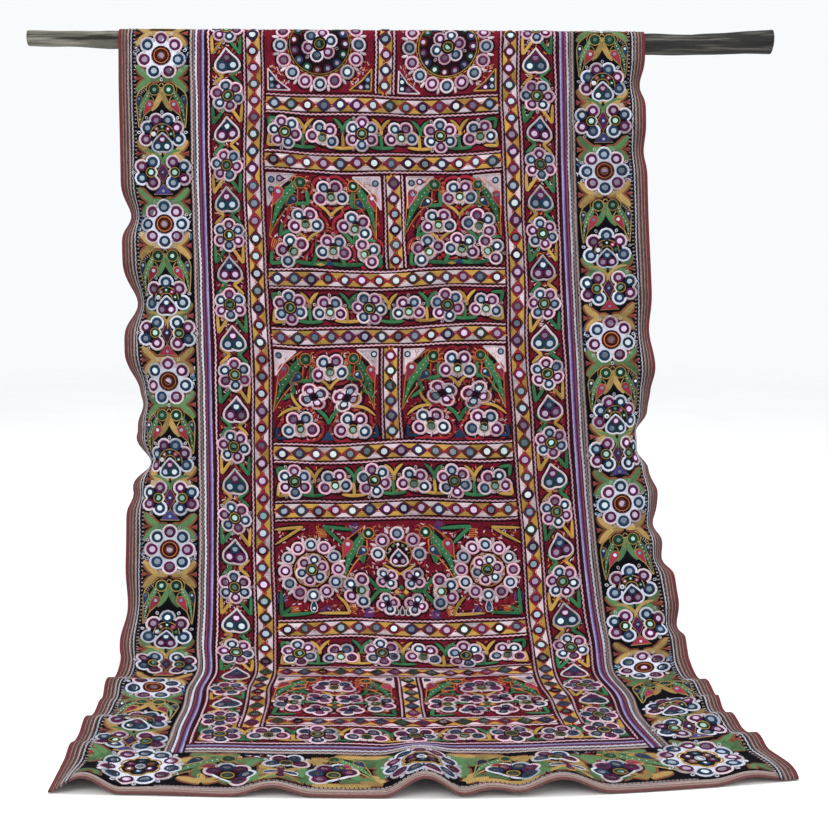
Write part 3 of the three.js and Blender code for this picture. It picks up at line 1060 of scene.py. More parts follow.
def parrot(place, look="field", ladder=False):
    """A parrot from the side: a ringed mirror for its head, and a pointed body with two wings."""
    shape, green, ground, outline, colours, start = PARROTS[look]
    back, breast, wings = PARROT_SHAPES[shape]
    outer = curve(back)
    inner = curve(breast)
    across = inner - outer
    place.span(outer, inner, ground, UNDER)
    place.span(outer + across * start, inner - across * start, green)
    for spot in (outer + inner)[4:-5:3] / 2:
        place.at(*spot).disc(1.5, place.pale, LINE, 6)
    for path in (outer, inner):
        place.cord(path, 2.8, outline)
    for (top, point, plump), colour in zip(wings, colours):
        run = np.subtract(point, top)
        spot = place.at(*(top + run * DROP_ROUND), turn=heading(run), stretch=plump)
        drop(spot, np.hypot(*run) * (1 - DROP_ROUND), colour, outline, height=LINE)
    place.disc(15, ground, UNDER, 18)
    # The green tint of the head's mirror is a painted reflection of its green ring.
    place.mirror(4.6, "green_reflection_glass")
    place.ring(7.6, 6, "bottle")
    place.ring(12.6, 2.6, outline, RING, 18)
    place.cord(arc(0, 0, 18.4, 112, 240, 8), FINE_LINE, outline)
    for angle in (38, 8, -24, -56):
        fork(place.out(15, angle), ((angle, 9, 0.3),), outline, FINE_LINE, None)
    if ladder:
        rungs(place, outer)


def corner(place, wide, tall, inside, edge, mirrors=3):
    """A triangle of stitching that fills a panel's corner, its right angle at the place."""
    place.fill(((0, 0), (wide, 0), (wide * 0.45, tall * 0.45), (0, tall)), inside, UNDER)
    for x, y in ((wide, 0), (0, tall)):
        place.line(((0, 0), (x / 2, y / 2), (x, y)), CORNER_LINE, edge)
    place.line(((wide, 0), (wide * 0.44, tall * 0.44), (0, tall)), CORNER_LINE, edge)
    for i, (x, y, turn) in enumerate(CORNER_EYES[:mirrors]):
        spot = place.at(x * wide, y * tall)
        if turn is not None:
            spot.at(0, 0, turn=turn).fill(((0, 15), (-6, 3), (6, 3)), RINGS[i % 2])
        eye(spot, 3.9, RINGS[i % 2], 4)


def wheel(place, radius, dots):
    """The dark wheel of a rosette, with coloured dots in a ring on it."""
    place.disc(radius, "dark", UNDER, 30)
    place.ring(radius, 2.8, "ochre", LINE, 40)
    for i in range(dots):
        spot = place.out(radius - 12.5, 360 / dots * i)
        spot.disc(9.6, WHEEL_DOTS[i % 4], FILL, 12)
        # Every other mirror has the plum tint, a painted reflection of warm stitching.
        spot.mirror(4.4, "plum_reflection_glass" if i % 2 else "glass", 8, MIRROR * 1.1)


def rosette(place, petals, reach, petal):
    """The ring of petals of a large double flower, each in its own outline, round an ochre ring."""
    angles = 90 + 360 / petals * np.arange(petals)
    edge = petal_arcs(angles, reach, petal + PALE_WIDTH + DARK_WIDTH * 0.3)
    place.cord(edge, DARK_WIDTH, "dark", UNDER, closed=True)
    ringed_petals(place, angles, reach, petal)
    for angle in angles + 180 / petals:
        sprout(place, reach + petal * 0.55, angle)
    place.ring(reach - petal - 5, 3.8, "dark", LINE, 36)
    place.ring(reach - petal - 8.4, 1.8, "ochre", LINE, 36)


def framing_line(place, length):
    """A pale wavy line between dark ones, on red."""
    place.bar(length, "maroon", 2 * BAND_LINE)
    for side in SIDES:
        place.bar(length, "dark", 4, LINE * 0.8, side * 3.9)
    place.wavy(length, "pink", 4)


def mirror_band(place, length, pitch=BAND_PITCH):
    """A band of mirrors in eye shapes between pale and ochre triangles, with a wavy line on each side."""
    for side in SIDES:
        framing_line(place.at(0, side * (BAND_WIDTH / 2 - BAND_LINE)), length)
    cells = max(2, round(length / pitch))
    step = length / cells
    for k in range(cells + 1):
        x = -length / 2 + k * step
        low = max(-length / 2, x - step / 2)
        high = min(length / 2, x + step / 2)
        for side in SIDES:
            colour = "ochre" if (k % 2 == 0) == (side > 0) else place.pale
            top = side * BAND_INSIDE / 2
            outline = ((low, top), (high, top), (high, side * 7), (x, 0), (low, side * 7))
            place.fill(outline, colour, FILL * 0.7, inset=0.94, turn=90)
            tip = ((-5, side * 4.4), (5, side * 4.4), (0, 0))
            place.at(x, side * 0.6).fill(tip, "orange" if (k + side) % 3 else "red")
    for k in range(cells):
        spot = place.at(-length / 2 + (k + 0.5) * step, rng.normal(0, 0.8), turn=rng.normal(0, 5))
        shape = lens(step * 0.5, BAND_INSIDE * 0.46)
        spot.fill(shape, LENS_COLOURS[rng.integers(4)], FILL, inset=0.9)
        spot.cord(shape * 0.98, 3.4, "dark", FILL * 1.2, closed=True)
        eye(spot, BAND_INSIDE * 0.235, LENS_RINGS[rng.integers(4)], 3.8, MIRROR * 1.4)


def seeds(place, wide, tall, count, colours):
    """Short loose stitches strewn over an empty spot."""
    for _ in range(count):
        x, y = (rng.random(2) - 0.5) * (wide, tall)
        spot = place.at(x, y, turn=rng.random() * 180)
        spot.cord(SEED_STITCH, FINE_LINE, colours[rng.integers(len(colours))], FILL)


def sheaf(place, colour):
    """A small bundle of parallel stitches."""
    for i in range(5):
        spot = place.at(rng.normal(0, 1), (i - 2) * 4)
        spot.cord(((-9, 0), (0, 0.8), (9, 0)), 2.6, colour, FILL)


# Layout of the middle panel


def leaf_pair(place, x, y, blades, colours):
    """Two leaf forks that mirror each other across a flower border."""
    for side, colour in zip(SIDES, colours):
        fork(place.at(side * x, y, flip=side), blades, colour)


def flower_border(place, length):
    """A strip along the place's y axis that alternates spades and round flowers, with leaves between."""
    count = round(length / STRIP_PITCH)
    step = length / count
    for k in range(count):
        pair, odd = divmod(k, 2)
        spot = place.at(rng.normal(0, 1), length / 2 - (k + 0.5) * step, turn=rng.normal(0, 4))
        colours = ("ochre", "green") if pair % 2 else ("green", "ochre")
        below = place.at(0, length / 2 - (k + 1) * step)
        seeds(below, STRIP_OUTER - STRIP_INNER - 8, 40, 40, ("red", "orange", "rust", place.pale))
        if odd:
            leaf_pair(below, 28, -21, ((87, 39), (125, 43)), colours[::-1])
            flower(spot, 6, 21.5, 10.2, 90 + 30 * rng.random(), halo="black")
        else:
            leaf_pair(below, 8, 5, ((42, 27), (-42, 27)), colours)
            trefoil(spot.at(0, 1), 1.14, pair % 2)


def flower_row(place, length, height, count=6):
    """A row across the field that alternates round flowers and fans, with leaves above and below."""
    step = length / count
    for k in range(count + 1):
        edge = place.at(-length / 2 + k * step, 0)
        colour, other = ("ochre", "green") if k % 2 else ("green", "ochre")
        if 0 < k < count:
            seeds(edge, 36, 60, 34, ("plum", "red", "orange", "rust"))
            fork(edge.at(0, height / 2 - 27), ((54, 30, 0.08), (126, 30, -0.08), (-90, 10)), colour)
            foot = edge.at(rng.normal(-3, 3), 6 - height / 2)
            fork(foot, ((92, 30), (5, 26), (173, 26)), other)
        else:
            side = 1 if k == 0 else -1
            fork(edge.at(6 * side, 6 - height / 2, flip=side), ((84, 28), (6, 28)), other)
            fork(edge.at(6 * side, height / 2 - 6, flip=side), ((-80, 22), (-4, 24)), colour)
    for k in range(count):
        spot = place.at(-length / 2 + (k + 0.5) * step, rng.normal(0, 1.5), turn=rng.normal(0, 6))
        if k % 2 == 0:
            flower(spot, 6, 22.4, 10.6, 90 + 25 * rng.random(), halo="black")
        else:
            fan(spot.at(0, -7), reach=21.5, petal=10.4, halo="black")


def panel_corner(place, width, height, inset, side, up):
    """A corner of a panel, its axes along the panel's edges and inwards."""
    spot = place.at(side * (width / 2 - inset), up * (height / 2 - inset), flip=-side)
    return spot.at(0, 0, turn=180, flip=-1) if up > 0 else spot


def panel_top(place, width, height, triangle, mirrors=1):
    """The speckled ground of a picture panel, and in each upper corner a triangle and a parrot by it."""
    seeds(place, width - 12, height - 12, 420, (*SPECKS, place.pale))
    for side, x, down, turn, size in PANEL_PARROTS:
        angle = panel_corner(place, width, height, 3, side, 1)
        corner(angle, triangle, triangle * 1.2, place.pale, place.pale, mirrors if side < 0 else 1)
        head = place.at(x * width / PANEL_WIDTH, height / 2 - down, turn=turn, flip=-side, size=size)
        parrot(head)
        seeds(head.at(18, -24), 22, 34, 18, ("orange", "red"))


def fan_panel(place, width, height):
    """A picture panel with three rows of fans."""
    k = width / PANEL_WIDTH
    panel_top(place, width, height, 56, mirrors=3)
    leaves(place, FAN_LEAVES, k)
    for side in SIDES:
        fork(place.at((12 + side * 46) * k, 34, flip=side), ((84, 30), (-4, 32)), "green", 11.5)
        foot = place.at((6 + side * 36) * k, 6 - height / 2, flip=side)
        fork(foot, ((102, 46, 0.12), (176, 34), (6, 38)), "green", 11.5)
        fork(panel_corner(place, width, height, 6, side, -1), ((86, 26), (6, 30)), "green", 10.5)
        sheaf(place.at(side * 108 * k, -52, turn=70), "orange")
    place.at(8 * k, 8 - height / 2).fill(((12, -4), (0, 8), (-12, -4)), "blue")
    place.at(-12 * k, 5 - height / 2).fill(diamond(12, 4), "ochre")
    for x, y, turn in THREE_ROWS:
        fan(place.at(x * k, y, turn=turn + rng.normal(0, 4)))
    x, y, turn = LAST_FAN
    fan(place.at(x * k, y, turn=turn), 3, 21, 10.6, 150)


def cluster_panel(place, width, height):
    """A picture panel with two four-mirror flowers over two broad fans."""
    k = width / PANEL_WIDTH
    panel_top(place, width, height, 44)
    leaves(place, CLUSTER_LEAVES, k)
    for side in SIDES:
        fork(place.at((8 + side * 44) * k, 34, flip=side), ((84, 30), (-4, 32)), "green", 11.5)
        fork(place.at(side * 60 * k, -24, flip=side), ((52, 38, -0.1), (-22, 54, 0.12)), "ochre", 9)
        fork(place.at((6 + side * 84) * k, 8, flip=side), ((64, 34, 0.1), (-36, 30)), "green", 10)
        seeds(place.at(side * 34 * k, -40), 30, 16, 18, ("orange", "red", place.pale))
        fork(panel_corner(place, width, height, 6, side, -1), ((86, 24), (4, 22)), "blue", 9)
    place.at(4 * k, 10 - height / 2).fill(((14, -6), (0, 16), (-14, -6)), "blue")
    for x, y, turn in TWO_ROWS:
        fan(place.at(x * k, y, turn=turn + rng.normal(0, 4)), reach=24.5, petal=11.4)
    for x, y, turn in TWO_CLUSTERS:
        cluster(place.at(x * k, y, turn=turn, size=1.2), 1.2)


def diamond_cross(place):
    """Four small diamonds set crosswise."""
    for i in range(4):
        place.out(9, 90 * i).fill(diamond(6, 6), ("ochre", "green")[i % 2])


def quilt_panel(place, width, height):
    """A picture panel with a broad fan over four clusters that meet in a cross of diamonds."""
    k = width / PANEL_WIDTH
    panel_top(place, width, height, 44)
    for side in SIDES:
        leaves(place.at(0, 0, flip=side), QUILT_LEAVES, k)
        fork(panel_corner(place, width, height, 6, side, -1), ((82, 34), (6, 40)), "green", 10.5)
        fan(place.at(side * 82 * k, -38, turn=side * -84), 4, 23, 10.6)
        cluster(place.at(side * 30 * k, -12, turn=side * 8), 1.15)
        cluster(place.at(side * 32 * k, -66, turn=side * 30), 1.1)
    diamond_cross(place.at(0, -40))
    fan(place.at(0, 42), 5, 25, 11)
    fork(place.at(0, 4), ((36, 30), (144, 30)), "ochre", 8.4)


def rosette_panel(place, width, height):
    """A panel with one wheel-like rosette and a triangle in each corner."""
    for side in SIDES:
        edge = place.pale if side < 0 else "ochre"
        for up in SIDES:
            corner(panel_corner(place, width, height, 4, side, up), 46, 46, "dark", edge)
            spot = place.at(side * width * 0.36, up * height * 0.3)
            seeds(spot, 44, 50, 60, ("orange", "red", place.pale))
    rosette(place, 16, 81.6, 11)
    wheel(place, 66, 15)
    flower(place, 6, 24, 10.6, 75)


def wide_panel(place, width, height):
    """The wide panel: a rosette at each end, and parrots, half flowers and clusters round a spade."""
    seeds(place, width - 12, height - 12, 1200, (*SPECKS, place.pale, "pink"))
    for side in SIDES:
        end = place.at(side * 174, 0)
        half = place.at(0, 0, flip=side)
        leaves(half, WIDE_LEAVES)
        rosette(end, 12, 52.5, 10)
        flower(end, 6, 21, 9.2, 75)
        drop(end.at(0, -80), 22, "blue", place.pale)
        parrot(half.at(57, 76, turn=-4, flip=-1, size=0.92))
        leaves(half, WIDE_INNER_LEAVES)
        fan(half.at(80, -44, turn=-90), 4, 23, 10.6, halo="black")
        cluster(half.at(27, -17, turn=10))
        cluster(half.at(28, -70, turn=28))
        fork(half.at(0, -8), ((32, 36),), "ochre", 8.4)
        for x, y, turn, colour in WIDE_SHEAVES:
            sheaf(half.at(x, y, turn=turn), colour)
    diamond_cross(place.at(0, -44))
    for x in (-12, 0, 12):
        drop(place.at(x, -88), 15, "bottle", place.pale, mirror=False)
    arch = place.at(0, 33)
    angles = np.array((180, 138, 90, 42, 0))
    ringed_petals(arch, angles, 41, 10.4)
    for angle in between(angles):
        sprout(arch, 47, angle)
    arch.disc(26, "dark", UNDER, 24)
    arch.ring(26, 2.4, "ochre", LINE, 28)
    for angle in (150, 120, 90, 60, 30):
        arch.out(19, angle).disc(3.4, ("leaf", place.pale)[angle // 30 % 2], FILL, 8)
    trefoil(arch.at(0, -7), 0.78, tip=22)


# Rows of the inner field from the front end up, with a mirror band between each two: what fills it, its
# height, and in a row of two panels the place of the upright band between them
FIELD_ROWS = (
    (quilt_panel, PICTURE_PANEL, 5),
    (flower_row, FLOWER_ROW, None),
    (wide_panel, ROSETTE_PANEL, None),
    (flower_row, FLOWER_ROW, None),
    (cluster_panel, PICTURE_PANEL, 2),
    (flower_row, FLOWER_ROW, None),
    (fan_panel, PICTURE_PANEL, 20),
    (flower_row, FLOWER_ROW, None),
    (rosette_panel, ROSETTE_PANEL, 6),
)


def field_row(place, motif, height, divider):
    """One row of the inner field."""
    if divider is None:
        motif(place, 2 * FIELD_EDGE, height)
        return
    mirror_band(place.at(divider, 0, turn=90), height)
    for side in SIDES:
        inner = divider + side * BAND_WIDTH / 2
        outer = side * FIELD_EDGE
        motif(place.at((inner + outer) / 2, 0), abs(outer - inner), height)


def stitch_field():
    """All the embroidery of the middle panel."""
    work = Work("middle_panel", "pale")
    front_edge = FIELD_FRONT - FIELD_HALF + FIELD_EDGE
    along = front_edge
    for motif, height, divider in FIELD_ROWS:
        if along < front_edge:
            mirror_band(work.place(0, along - BAND_WIDTH / 2), 2 * FIELD_EDGE)
            along -= BAND_WIDTH
        field_row(work.place(0, along - height / 2), motif, height, divider)
        along -= height
    back_edge = along
    middle = (front_edge + back_edge) / 2
    length = front_edge - back_edge + 2 * BAND_WIDTH
    for side in SIDES:
        upright = work.place(side * (FIELD_EDGE + BAND_WIDTH / 2), middle)
        mirror_band(upright.at(0, 0, turn=90), length, FRAME_BAND_PITCH)
        flower_border(work.place(side * (STRIP_INNER + STRIP_OUTER) / 2, middle), length)
        edge = work.place(side * (STRIP_OUTER + BAND_LINE), (FIELD_FRONT + FIELD_BACK) / 2)
        framing_line(edge.at(0, 0, turn=90), FIELD_FRONT - FIELD_BACK - BAND_LINE)
    for edge, end, outward in ((front_edge, FIELD_FRONT, 1), (back_edge, FIELD_BACK, -1)):
        mirror_band(work.place(0, edge + outward * BAND_WIDTH / 2), 2 * FIELD_EDGE, FRAME_BAND_PITCH)
        low = edge + outward * BAND_WIDTH
        high = end - outward * 2 * BAND_LINE
        flower_row(work.place(0, (low + high) / 2), 2 * STRIP_OUTER, abs(high - low), 9)
        framing_line(work.place(0, end - outward * BAND_LINE), 2 * STRIP_OUTER)
    return work


# Layout of the dark border


def yoke(place, colour):
    """Broad leaf forks that open to both sides between two round motifs, with a small flame in each."""
    for side in SIDES:
        half = place.at(0, 0, flip=side)
        fork(half.at(24, 0), ((43, 40, -0.05), (-43, 40, 0.05), (180, 22)), colour, 16, "rust", LOW_LEAF)
        half.at(47, 0).fill(((9, 6), (9, -6), (-7, 0)), "rust", FILL * 0.7)
        half.at(50, 0).fill(((6, 3), (6, -3), (-4, 0)), "rose")


def leaf_colours(number):
    return ("leaf", "straw") if number % 2 else ("straw", "leaf")


def side_leaves(place, number):
    """Forks at the sides of the border."""
    yoke(place, leaf_colours(number)[0])


def middle_leaves(place, number):
    """Forks at the sides, and a broad bracket that cups the spade above."""
    bracket, sides = leaf_colours(number)
    yoke(place, sides)
    fork(place.at(0, -16), ((34, 46, 0.16), (146, 46, -0.16), (-90, 14)), bracket, 11, "black")


def big_flower(place, number):
    """The large flower that starts a repeat, on bare dark cloth with a few loose stitches beside it."""
    flower(place, 8 - number % 2, 36, 12.6, middle=medallion, lit=True)
    for side in SIDES:
        seeds(place.at(side * 53, 0), 6, 60, 14, ("sky", "indigo", "frost"))


def border_parrots(place, number):
    """Two parrots face to face, with a broad leaf between their bodies and a ladder by the outer one."""
    blades = ((-118, 44, 0.04), (-62, 44, -0.04), (90, 8))
    fork(place.at(0, -6), blades, leaf_colours(number)[1], 16, "black")
    for side in SIDES:
        outer = side * place.origin[0] > 0
        parrot(place.at(side * 15, 0, flip=-side, size=0.93), "border", outer)


def arch_flower(place, number):
    """A wide fan of large petals over an arc of coloured dots and a spade of mirrors."""
    odd = number % 2
    angles = np.linspace(192, -12, 5 + odd)
    size = 12.4 - odd
    place.at(0, -4).disc(40, "black", UNDER * 0.6, 24)
    scallops(place, angles, 35, size, number, ARCH_ENDS)
    petals_of(place, angles, 35, size, number)
    for angle in between(angles):
        picot(place, 46, angle)
    for colour, angle in zip(ARCH_DOTS, np.linspace(168, 12, len(ARCH_DOTS))):
        spot = place.out(19, angle)
        spot.disc(5.4, colour, FILL, 10)
        spot.mirror(2.2, "glass", 6)
    for reach in (12.6, 25.4):
        place.line(arc(0, 0, reach, 190, -10, 16), 2, "straw")
    trefoil(place.at(0, -13), 0.98, odd, 20, "black")


def half_flower_pair(place, number):
    """Two half flowers back to back, with a diamond between and a triangle below."""
    for side in SIDES:
        fan(place.at(side * 26, 0, turn=side * -90), 4, 22, 11.4, 204, "black", "black")
    gem = np.array(((0, 23), (12, 0), (0, -23), (-12, 0)))
    place.fill(gem, "plum")
    place.fill(gem * 0.5, "blue", FILL * 1.4)
    place.cord(gem, FINE_LINE, "straw", closed=True)
    place.mirror(2.8, "glass", 8, MIRROR * 1.5)
    point = ((0, -24), (20, -46), (-20, -46))
    place.fill(point, ("rose", "indigo")[number % 2])
    place.cord(point, FINE_LINE, "straw", closed=True)
    place.at(0, -39).mirror(3, "glass", 8, MIRROR * 1.2)


# Parts of one repeat down a long border: distance below its flower, motif
UNIT_PARTS = (
    (48, side_leaves),
    (204, middle_leaves),
    (303, side_leaves),
    (71, border_parrots),
    (0, big_flower),
    (167, arch_flower),
    (243, half_flower_pair),
)


def corner_rosette(place):
    """The large flower in a corner of the border, with a gold scalloped wheel."""
    place.disc(60, "black", UNDER * 0.6, 24)
    flower(place, 11, 42, 10.8, middle=None, lit=True)
    place.disc(29, "black", FILL, 24)
    angles = 90 + 60 * np.arange(6)
    place.line(petal_arcs(angles, 17, 12), 4.6, "ochre", RING, closed=True)
    for i, angle in enumerate(angles):
        spot = place.out(15.5, angle)
        spot.disc(6.6, CORNER_DOTS[i % 3], LINE, 10)
        spot.mirror(2.8, "glass", 8, RING)
    eye(place, 4.6, place.pale, 3.8)


def dashes(place, length, pitch, ground, colour):
    """A line of stitching with short stitches of another colour set crosswise on it."""
    place.bar(length, ground, 6)
    for x in np.arange(-length / 2, length / 2, pitch):
        place.at(x, 0).cord(((0, -2), (0, 0), (0, 2)), 3, colour)


def stitch_long_border(name, side, flowers):
    """The embroidery of a long border strip, from the back corner to the front one."""
    work = Work(name, "frost")
    across = side * BORDER_CENTRE
    stops = (*flowers, FRONT_CORNER)
    for number, (along, after) in enumerate(zip(stops[:-1], stops[1:])):
        for down, motif in UNIT_PARTS:
            spot = work.place(across, along).at(0, -down * (after - along) / BORDER_UNIT)
            if spot.origin[1] > BACK_CORNER + CORNER_CLEAR:
                motif(spot, number)
    for end in (FRONT_CORNER, BACK_CORNER):
        inward = end - math.copysign(CORNER_LIFT, end)
        corner_rosette(work.place(across - side * CORNER_INWARD, inward).at(0, 0, size=1.16))
        for turn in (-45, 45):
            leaf = work.place(across + side * 30, end).at(0, 0, flip=side).at(0, math.copysign(34, turn))
            blades = ((turn, 34), (turn * 0.2, 26), (turn * 2.4, 24))
            fork(leaf, blades, "leaf", 13, "rust", LOW_LEAF)
    edge = work.place(side * (HALF_WIDTH - BINDING_WIDTH - 3), (FRONT_LENGTH - BACK_LENGTH) / 2)
    length = FRONT_LENGTH + BACK_LENGTH - 2 * HEM_BINDING_WIDTH - 10
    dashes(edge.at(0, 0, turn=90), length, 8, "black", "ash")
    return work


def drop_cross(place):
    """Four drops and four broad leaves set crosswise."""
    fork(place, [(45 + 90 * i, 44) for i in range(4)], "straw", 15, "black", FILL, "rust")
    for i in range(4):
        spot = place.out(18, 90 * i, 90 * i + 90)
        drop(spot, 24, RINGS[i % 2], (place.pale, "ochre")[i % 2])
    place.fill(diamond(10, 10), "plum", LINE)


def stitch_end_border(name, along):
    """The short border strips at the front and the back, between the corner flowers."""
    work = Work(name, "frost")
    place = work.place(0, along).at(0, 0, turn=0 if along > 0 else 180)
    for side in SIDES:
        half = place.at(0, 0, flip=side)
        for x, y, blades, colour in END_LEAVES:
            fork(half.at(x, y), blades, colour, END_LEAF_WIDTH, "rust", LOW_LEAF)
        drop_cross(half.at(213, -20))
        parrot(half.at(132, 40, turn=-8, size=0.72), "hem")
        parrot(half.at(296, 40, turn=19, flip=-1, size=0.9), "hem")
        for x, y, turn, petals, reach, petal in END_FANS:
            fan(half.at(x, y, turn=turn), petals, reach, petal, halo="black", ground="black")
        seeds(half.at(260, 54), 110, 8, 24, ("sky", "frost", "rose"))
    corner_rosette(place.at(0, 2, size=1.06))
    edge = work.place(0, along + math.copysign(HEM_BORDER_WIDTH / 2 - 3, along))
    dashes(edge, 2 * (FIELD_HALF + TAPE_WIDTH) - 8, 6.4, "ash", "black")
    return work


def stitch_edging(name, across, along, kind, run):
    """The lines along a tape or binding."""
    work = Work(name, "frost")
    sides, ends = (across, along) if run == "long" else (along, across)
    inner = min(sides, key=abs)
    middle = sum(ends) / 2
    for distance, colour, width, wave in EDGING_LINES[kind]:
        side = inner + math.copysign(distance, inner)
        if run == "long":
            place = work.place(side, middle).at(0, 0, turn=90)
        else:
            place = work.place(middle, side)
        place.wavy(ends[1] - ends[0] - 4, colour, width, EDGING_PITCH, wave)
    return work


# Materials


def linear(rgb):
    """A screen colour as linear light, with full opacity."""
    light = []
    for value in rgb:
        v = value / 255
        light.append(v / 12.92 if v <= 0.04045 else ((v + 0.055) / 1.055) ** 2.4)
    return (*light, 1.0)


class Shader:
    """The nodes of a material or of the room, with short ways to add and join them."""

    def __init__(self, owner):
        owner.use_nodes = True
        self.owner = owner
        self.tree = owner.node_tree

    def join(self, source, target):
        """Set a constant on a socket, or link another socket to it."""
        if isinstance(source, (int, float, tuple)):
            target.default_value = source
        else:
            self.tree.links.new(source, target)

    def node(self, kind, inputs=None, **settings):
        made = self.tree.nodes.new(kind)
        for key, value in settings.items():
            setattr(made, key, value)
        for socket, source in (inputs or {}).items():
            self.join(source, made.inputs[socket])
        return made

    def math(self, operation, a, b=0.0):
        return self.node("ShaderNodeMath", {0: a, 1: b}, operation=operation).outputs[0]

    def weighed(self, a, a_weight, b, b_weight):
        """Two values added up by weight."""
        return self.math("ADD", self.math("MULTIPLY", a, a_weight), self.math("MULTIPLY", b, b_weight))

    def wave(self, value, rate):
        return self.math("SINE", self.math("MULTIPLY", value, rate))

    def parts(self, vector):
        return self.node("ShaderNodeSeparateXYZ", {0: vector}).outputs

    def flat(self):
        """The place on the flat cloth or stitch, and its two coordinates."""
        uv = self.node("ShaderNodeUVMap", uv_map="flat").outputs[0]
        return uv, *self.parts(uv)[:2]

    def place(self, kind="Object"):
        return self.node("ShaderNodeTexCoord").outputs[kind]

    def stretched(self, vector, scale):
        return self.node("ShaderNodeMapping", {"Vector": vector, "Scale": scale}).outputs[0]

    def shade(self):
        """The chance tone of a single stitch or mirror."""
        return self.node("ShaderNodeAttribute", attribute_name="shade").outputs["Fac"]

    def noise(self, vector, scale, detail=3.0, roughness=0.55):
        inputs = {"Vector": vector, "Scale": scale, "Detail": detail, "Roughness": roughness}
        return self.node("ShaderNodeTexNoise", inputs).outputs["Fac"]

    def spread(self, value, given=(0, 1), wanted=(0, 1), **settings):
        """A value moved from one range to another."""
        names = ("From Min", "From Max", "To Min", "To Max")
        inputs = {0: value, **dict(zip(names, (*given, *wanted)))}
        return self.node("ShaderNodeMapRange", inputs, **settings).outputs[0]

    def ramp(self, value, stops, sharp=False):
        made = self.node("ShaderNodeValToRGB", {0: value})
        made.color_ramp.interpolation = "CONSTANT" if sharp else "LINEAR"
        elements = made.color_ramp.elements
        while len(elements) < len(stops):
            elements.new(0.5)
        for element, (position, colour) in zip(elements, stops):
            element.position = position
            element.color = colour
        return made.outputs[0]

    def dyed(self, value, stops, sharp=False):
        """A ramp of screen colours."""
        return self.ramp(value, [(at, linear(rgb)) for at, rgb in stops], sharp)

    def tones(self, value, rgb, stops):
        """A ramp of darker and lighter tones of one screen colour."""
        return self.dyed(value, [(at, [min(255, part * tone) for part in rgb]) for at, tone in stops])

    def blend(self, factor, a, b, mode="MIX"):
        inputs = {0: factor, 6: a, 7: b}
        return self.node("ShaderNodeMix", inputs, data_type="RGBA", blend_type=mode).outputs[2]

    def painted_hollow_shade(self, colour, tint, height):
        """A colour times a tint in the hollows, as painted shade."""
        return self.blend(height, self.blend(1.0, colour, (*tint, 1), "MULTIPLY"), colour)

    def bump(self, height, strength, distance):
        inputs = {"Strength": strength, "Distance": distance, "Height": height}
        return self.node("ShaderNodeBump", inputs).outputs[0]

    def finish(self, **values):
        """Join the surface's values, and give back the finished material."""
        surface = self.tree.nodes["Principled BSDF"]
        for name, value in values.items():
            self.join(value, surface.inputs[name.replace("_", " ")])
        return self.owner


def new_material(name):
    return Shader(bpy.data.materials.new(name))


def thread_material(name, rgb):
    """Cotton thread in chain stitch: overlapping loops along each line, uneven in dye, with painted shade
    between the loops.
    """
    shader = new_material(name)
    _, length, side = shader.flat()
    off_middle = shader.math("ABSOLUTE", shader.math("SUBTRACT", shader.math("FRACT", side), 0.5))
    phase = shader.math("ADD", shader.math("MULTIPLY", length, 1 / UV_SCALE / STITCH_LENGTH), off_middle)
    loop = shader.math("ABSOLUTE", shader.wave(phase, math.pi))
    groove = shader.math("MULTIPLY", loop, shader.math("ADD", off_middle, 0.55))
    tone = shader.weighed(shader.shade(), 0.45, shader.noise(shader.place(), 90), 0.55)
    colour = shader.tones(tone, rgb, ((0.2, 0.74), (0.5, 1), (0.8, 1.16)))
    return shader.finish(
        # Painted shade: the colour is darkened in the dips between the stitch loops.
        Base_Color=shader.painted_hollow_shade(colour, (0.42, 0.38, 0.4), groove),
        Normal=shader.bump(groove, 0.55, 0.0007),
        Roughness=0.75,
        Specular_IOR_Level=0.12,
    )


def mirror_material(name, rgb):
    """Thin silvered glass, a little wavy and dulled by age."""
    shader = new_material(name)
    place = shader.place()
    age = shader.noise(place, 260, 2)
    tone = shader.weighed(shader.shade(), 0.75, age, 0.25)
    return shader.finish(
        Base_Color=shader.tones(tone, rgb, ((0.15, 0.6), (0.5, 1), (0.88, 1.42))),
        Normal=shader.bump(shader.noise(place, 120, 1), 0.25, 0.0006),
        Roughness=shader.spread(age, wanted=(0.04, 0.2)),
        Metallic=1.0,
    )


def cloth_material(name, rgb, stitched):
    """Cotton ground: a plain weave, under rows of filling stitches where it is stitched, with painted shade
    in the hollows of the stitching.
    """
    shader = new_material(name)
    flat, across, along = shader.flat()
    thread = 2 * math.pi / UV_SCALE / WEAVE_PITCH
    crossing = shader.math("MULTIPLY", shader.wave(across, thread), shader.wave(along, thread))
    height = shader.math("ADD", shader.math("MULTIPLY", crossing, 0.25), 0.5)
    if stitched:
        waves = {"Vector": flat, "Scale": 11, "Distortion": 9, "Detail": 2, "Detail Scale": 0.6}
        rows = shader.node("ShaderNodeTexWave", waves, wave_type="BANDS", bands_direction="DIAGONAL")
        height = shader.math("ADD", shader.math("MULTIPLY", height, 0.3), rows.outputs["Fac"])
    tone = shader.weighed(shader.noise(flat, 2.2, 4), 0.6, shader.noise(flat, 26, 3), 0.4)
    colour = shader.tones(tone, rgb, ((0.3, 0.7), (0.5, 1), (0.72, 1.25)))
    if stitched:
        # Painted shade in the hollows of the weave and between the stitch rows.
        colour = shader.painted_hollow_shade(colour, (0.3, 0.24, 0.3), height)
    return shader.finish(
        Base_Color=colour,
        Normal=shader.bump(height, 0.5, 0.0006),
        Roughness=0.9,
        Specular_IOR_Level=0.06,
    )


